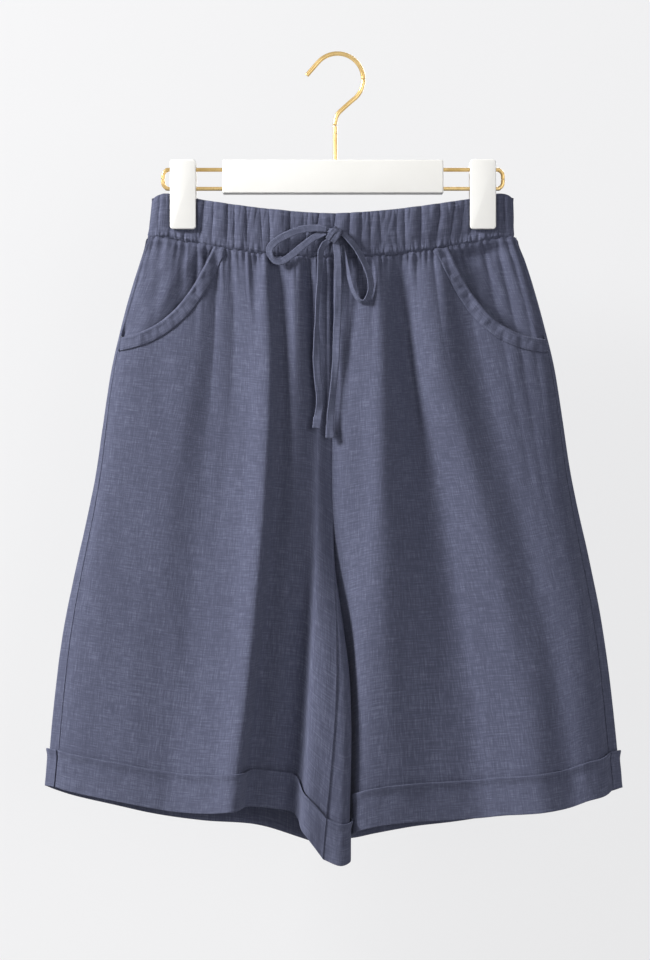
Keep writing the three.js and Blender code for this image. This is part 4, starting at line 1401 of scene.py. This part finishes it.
def pocketStitches(side):
    sign = -1 if side == "right" else 1
    edge = scoopEdge(pockets[side], 160)
    routes = []
    for width, up in ((1.7, 1.1), (9.0, 0.75)):
        ring = offsetEdge(edge, sign, width)
        route = []
        for x, z in ring:
            if z > waistHeight(waistSeam, x) - 2 or abs(x) > 197:
                continue
            y, _ = frontAt(panelFields[side], x, z)
            route.append((x, y - up, z))
        routes.append(route)
    return stitchMesh("pocketStitches" + side.capitalize(), routes, 2.3, 0.8, 0.22)


for side in ("right", "left"):
    pocketStitches(side)
print("stitches made")


# floor, backdrop and lights

def stageMaterial(name, base, glow):
    material, nodes, links, shader = newMaterial(name)
    shader.inputs["Base Color"].default_value = (base, base, base * 1.008, 1)
    shader.inputs["Roughness"].default_value = 1.0
    shader.inputs["Specular IOR Level"].default_value = 0.0
    shader.inputs["Emission Color"].default_value = (glow, glow, glow * 1.01, 1)
    path = nodes.new("ShaderNodeLightPath")
    seen = mathNode(nodes, links, "MAXIMUM", path.outputs["Is Camera Ray"], path.outputs["Is Glossy Ray"])
    links.new(seen, shader.inputs["Emission Strength"])
    return material


def oneSided(material):
    # only the camera sees it, and only from the front
    nodes, links = material.node_tree.nodes, material.node_tree.links
    shader = next(node for node in nodes if node.type == "BSDF_PRINCIPLED")
    output = next(node for node in nodes if node.type == "OUTPUT_MATERIAL")
    path, face = nodes.new("ShaderNodeLightPath"), nodes.new("ShaderNodeNewGeometry")
    clear, mix = nodes.new("ShaderNodeBsdfTransparent"), nodes.new("ShaderNodeMixShader")
    front = mathNode(
        nodes, links, "SUBTRACT", path.outputs["Is Camera Ray"], face.outputs["Backfacing"],
        clamp=True,
    )
    links.new(front, mix.inputs[0])
    links.new(clear.outputs[0], mix.inputs[1])
    links.new(shader.outputs[0], mix.inputs[2])
    links.new(mix.outputs[0], output.inputs["Surface"])


def makeStage():
    bpy.ops.object.select_all(action="DESELECT")
    bpy.ops.mesh.primitive_plane_add(size=8, location=(0, 0, -1.02))
    floor = bpy.context.object
    floor.name = "floor"
    floor.data.materials.append(stageMaterial("paleFloor", 0.3, 0.55))
    bpy.ops.mesh.primitive_plane_add(size=8, location=(0, 0.16, 0), rotation=(math.radians(90), 0, 0))
    wall = bpy.context.object
    wall.name = "backdrop"
    paleWall = stageMaterial("paleWall", 0.12, 0.75)
    oneSided(paleWall)
    wall.data.materials.append(paleWall)


def makeWorld(light, shown):
    # even light on the object, and a pale surround seen only by the camera and in reflections
    world = bpy.data.worlds.new("studio")
    bpy.context.scene.world = world
    world.use_nodes = True
    nodes, links = world.node_tree.nodes, world.node_tree.links
    ground = nodes["Background"]
    ground.inputs["Color"].default_value = (0.985, 0.985, 1, 1)
    path = nodes.new("ShaderNodeLightPath")
    seen = mathNode(nodes, links, "MAXIMUM", path.outputs["Is Camera Ray"], path.outputs["Is Glossy Ray"])
    extra = mathNode(nodes, links, "MULTIPLY", seen, shown - light)
    links.new(mathNode(nodes, links, "ADD", extra, light), ground.inputs["Strength"])


def areaLight(name, place, target, size, power, colour=(1, 1, 1)):
    light = bpy.data.lights.new(name, "AREA")
    light.shape = "RECTANGLE"
    light.size, light.size_y = size
    light.energy = power
    light.color = colour
    lamp = bpy.data.objects.new(name, light)
    bpy.context.scene.collection.objects.link(lamp)
    way = Vector(target) - Vector(place)
    lamp.matrix_world = Matrix.Translation(place) @ way.to_track_quat("-Z", "Y").to_matrix().to_4x4()
    return lamp


makeStage()
areaLight("key", (-2.17, -0.9, 0.86), (0, 0, -0.4), (0.7, 0.7), 121)
areaLight("fill", (1.3, -2.1, -0.1), (0, 0, -0.4), (1.6, 1.6), 17)
areaLight("back", (0.9, 2.2, 0.7), (0, 0, -0.4), (1.4, 1.4), 45)
makeWorld(0.25, 0.88)
bpy.context.scene.view_settings.view_transform = "Standard"
print("stage and lights ready")
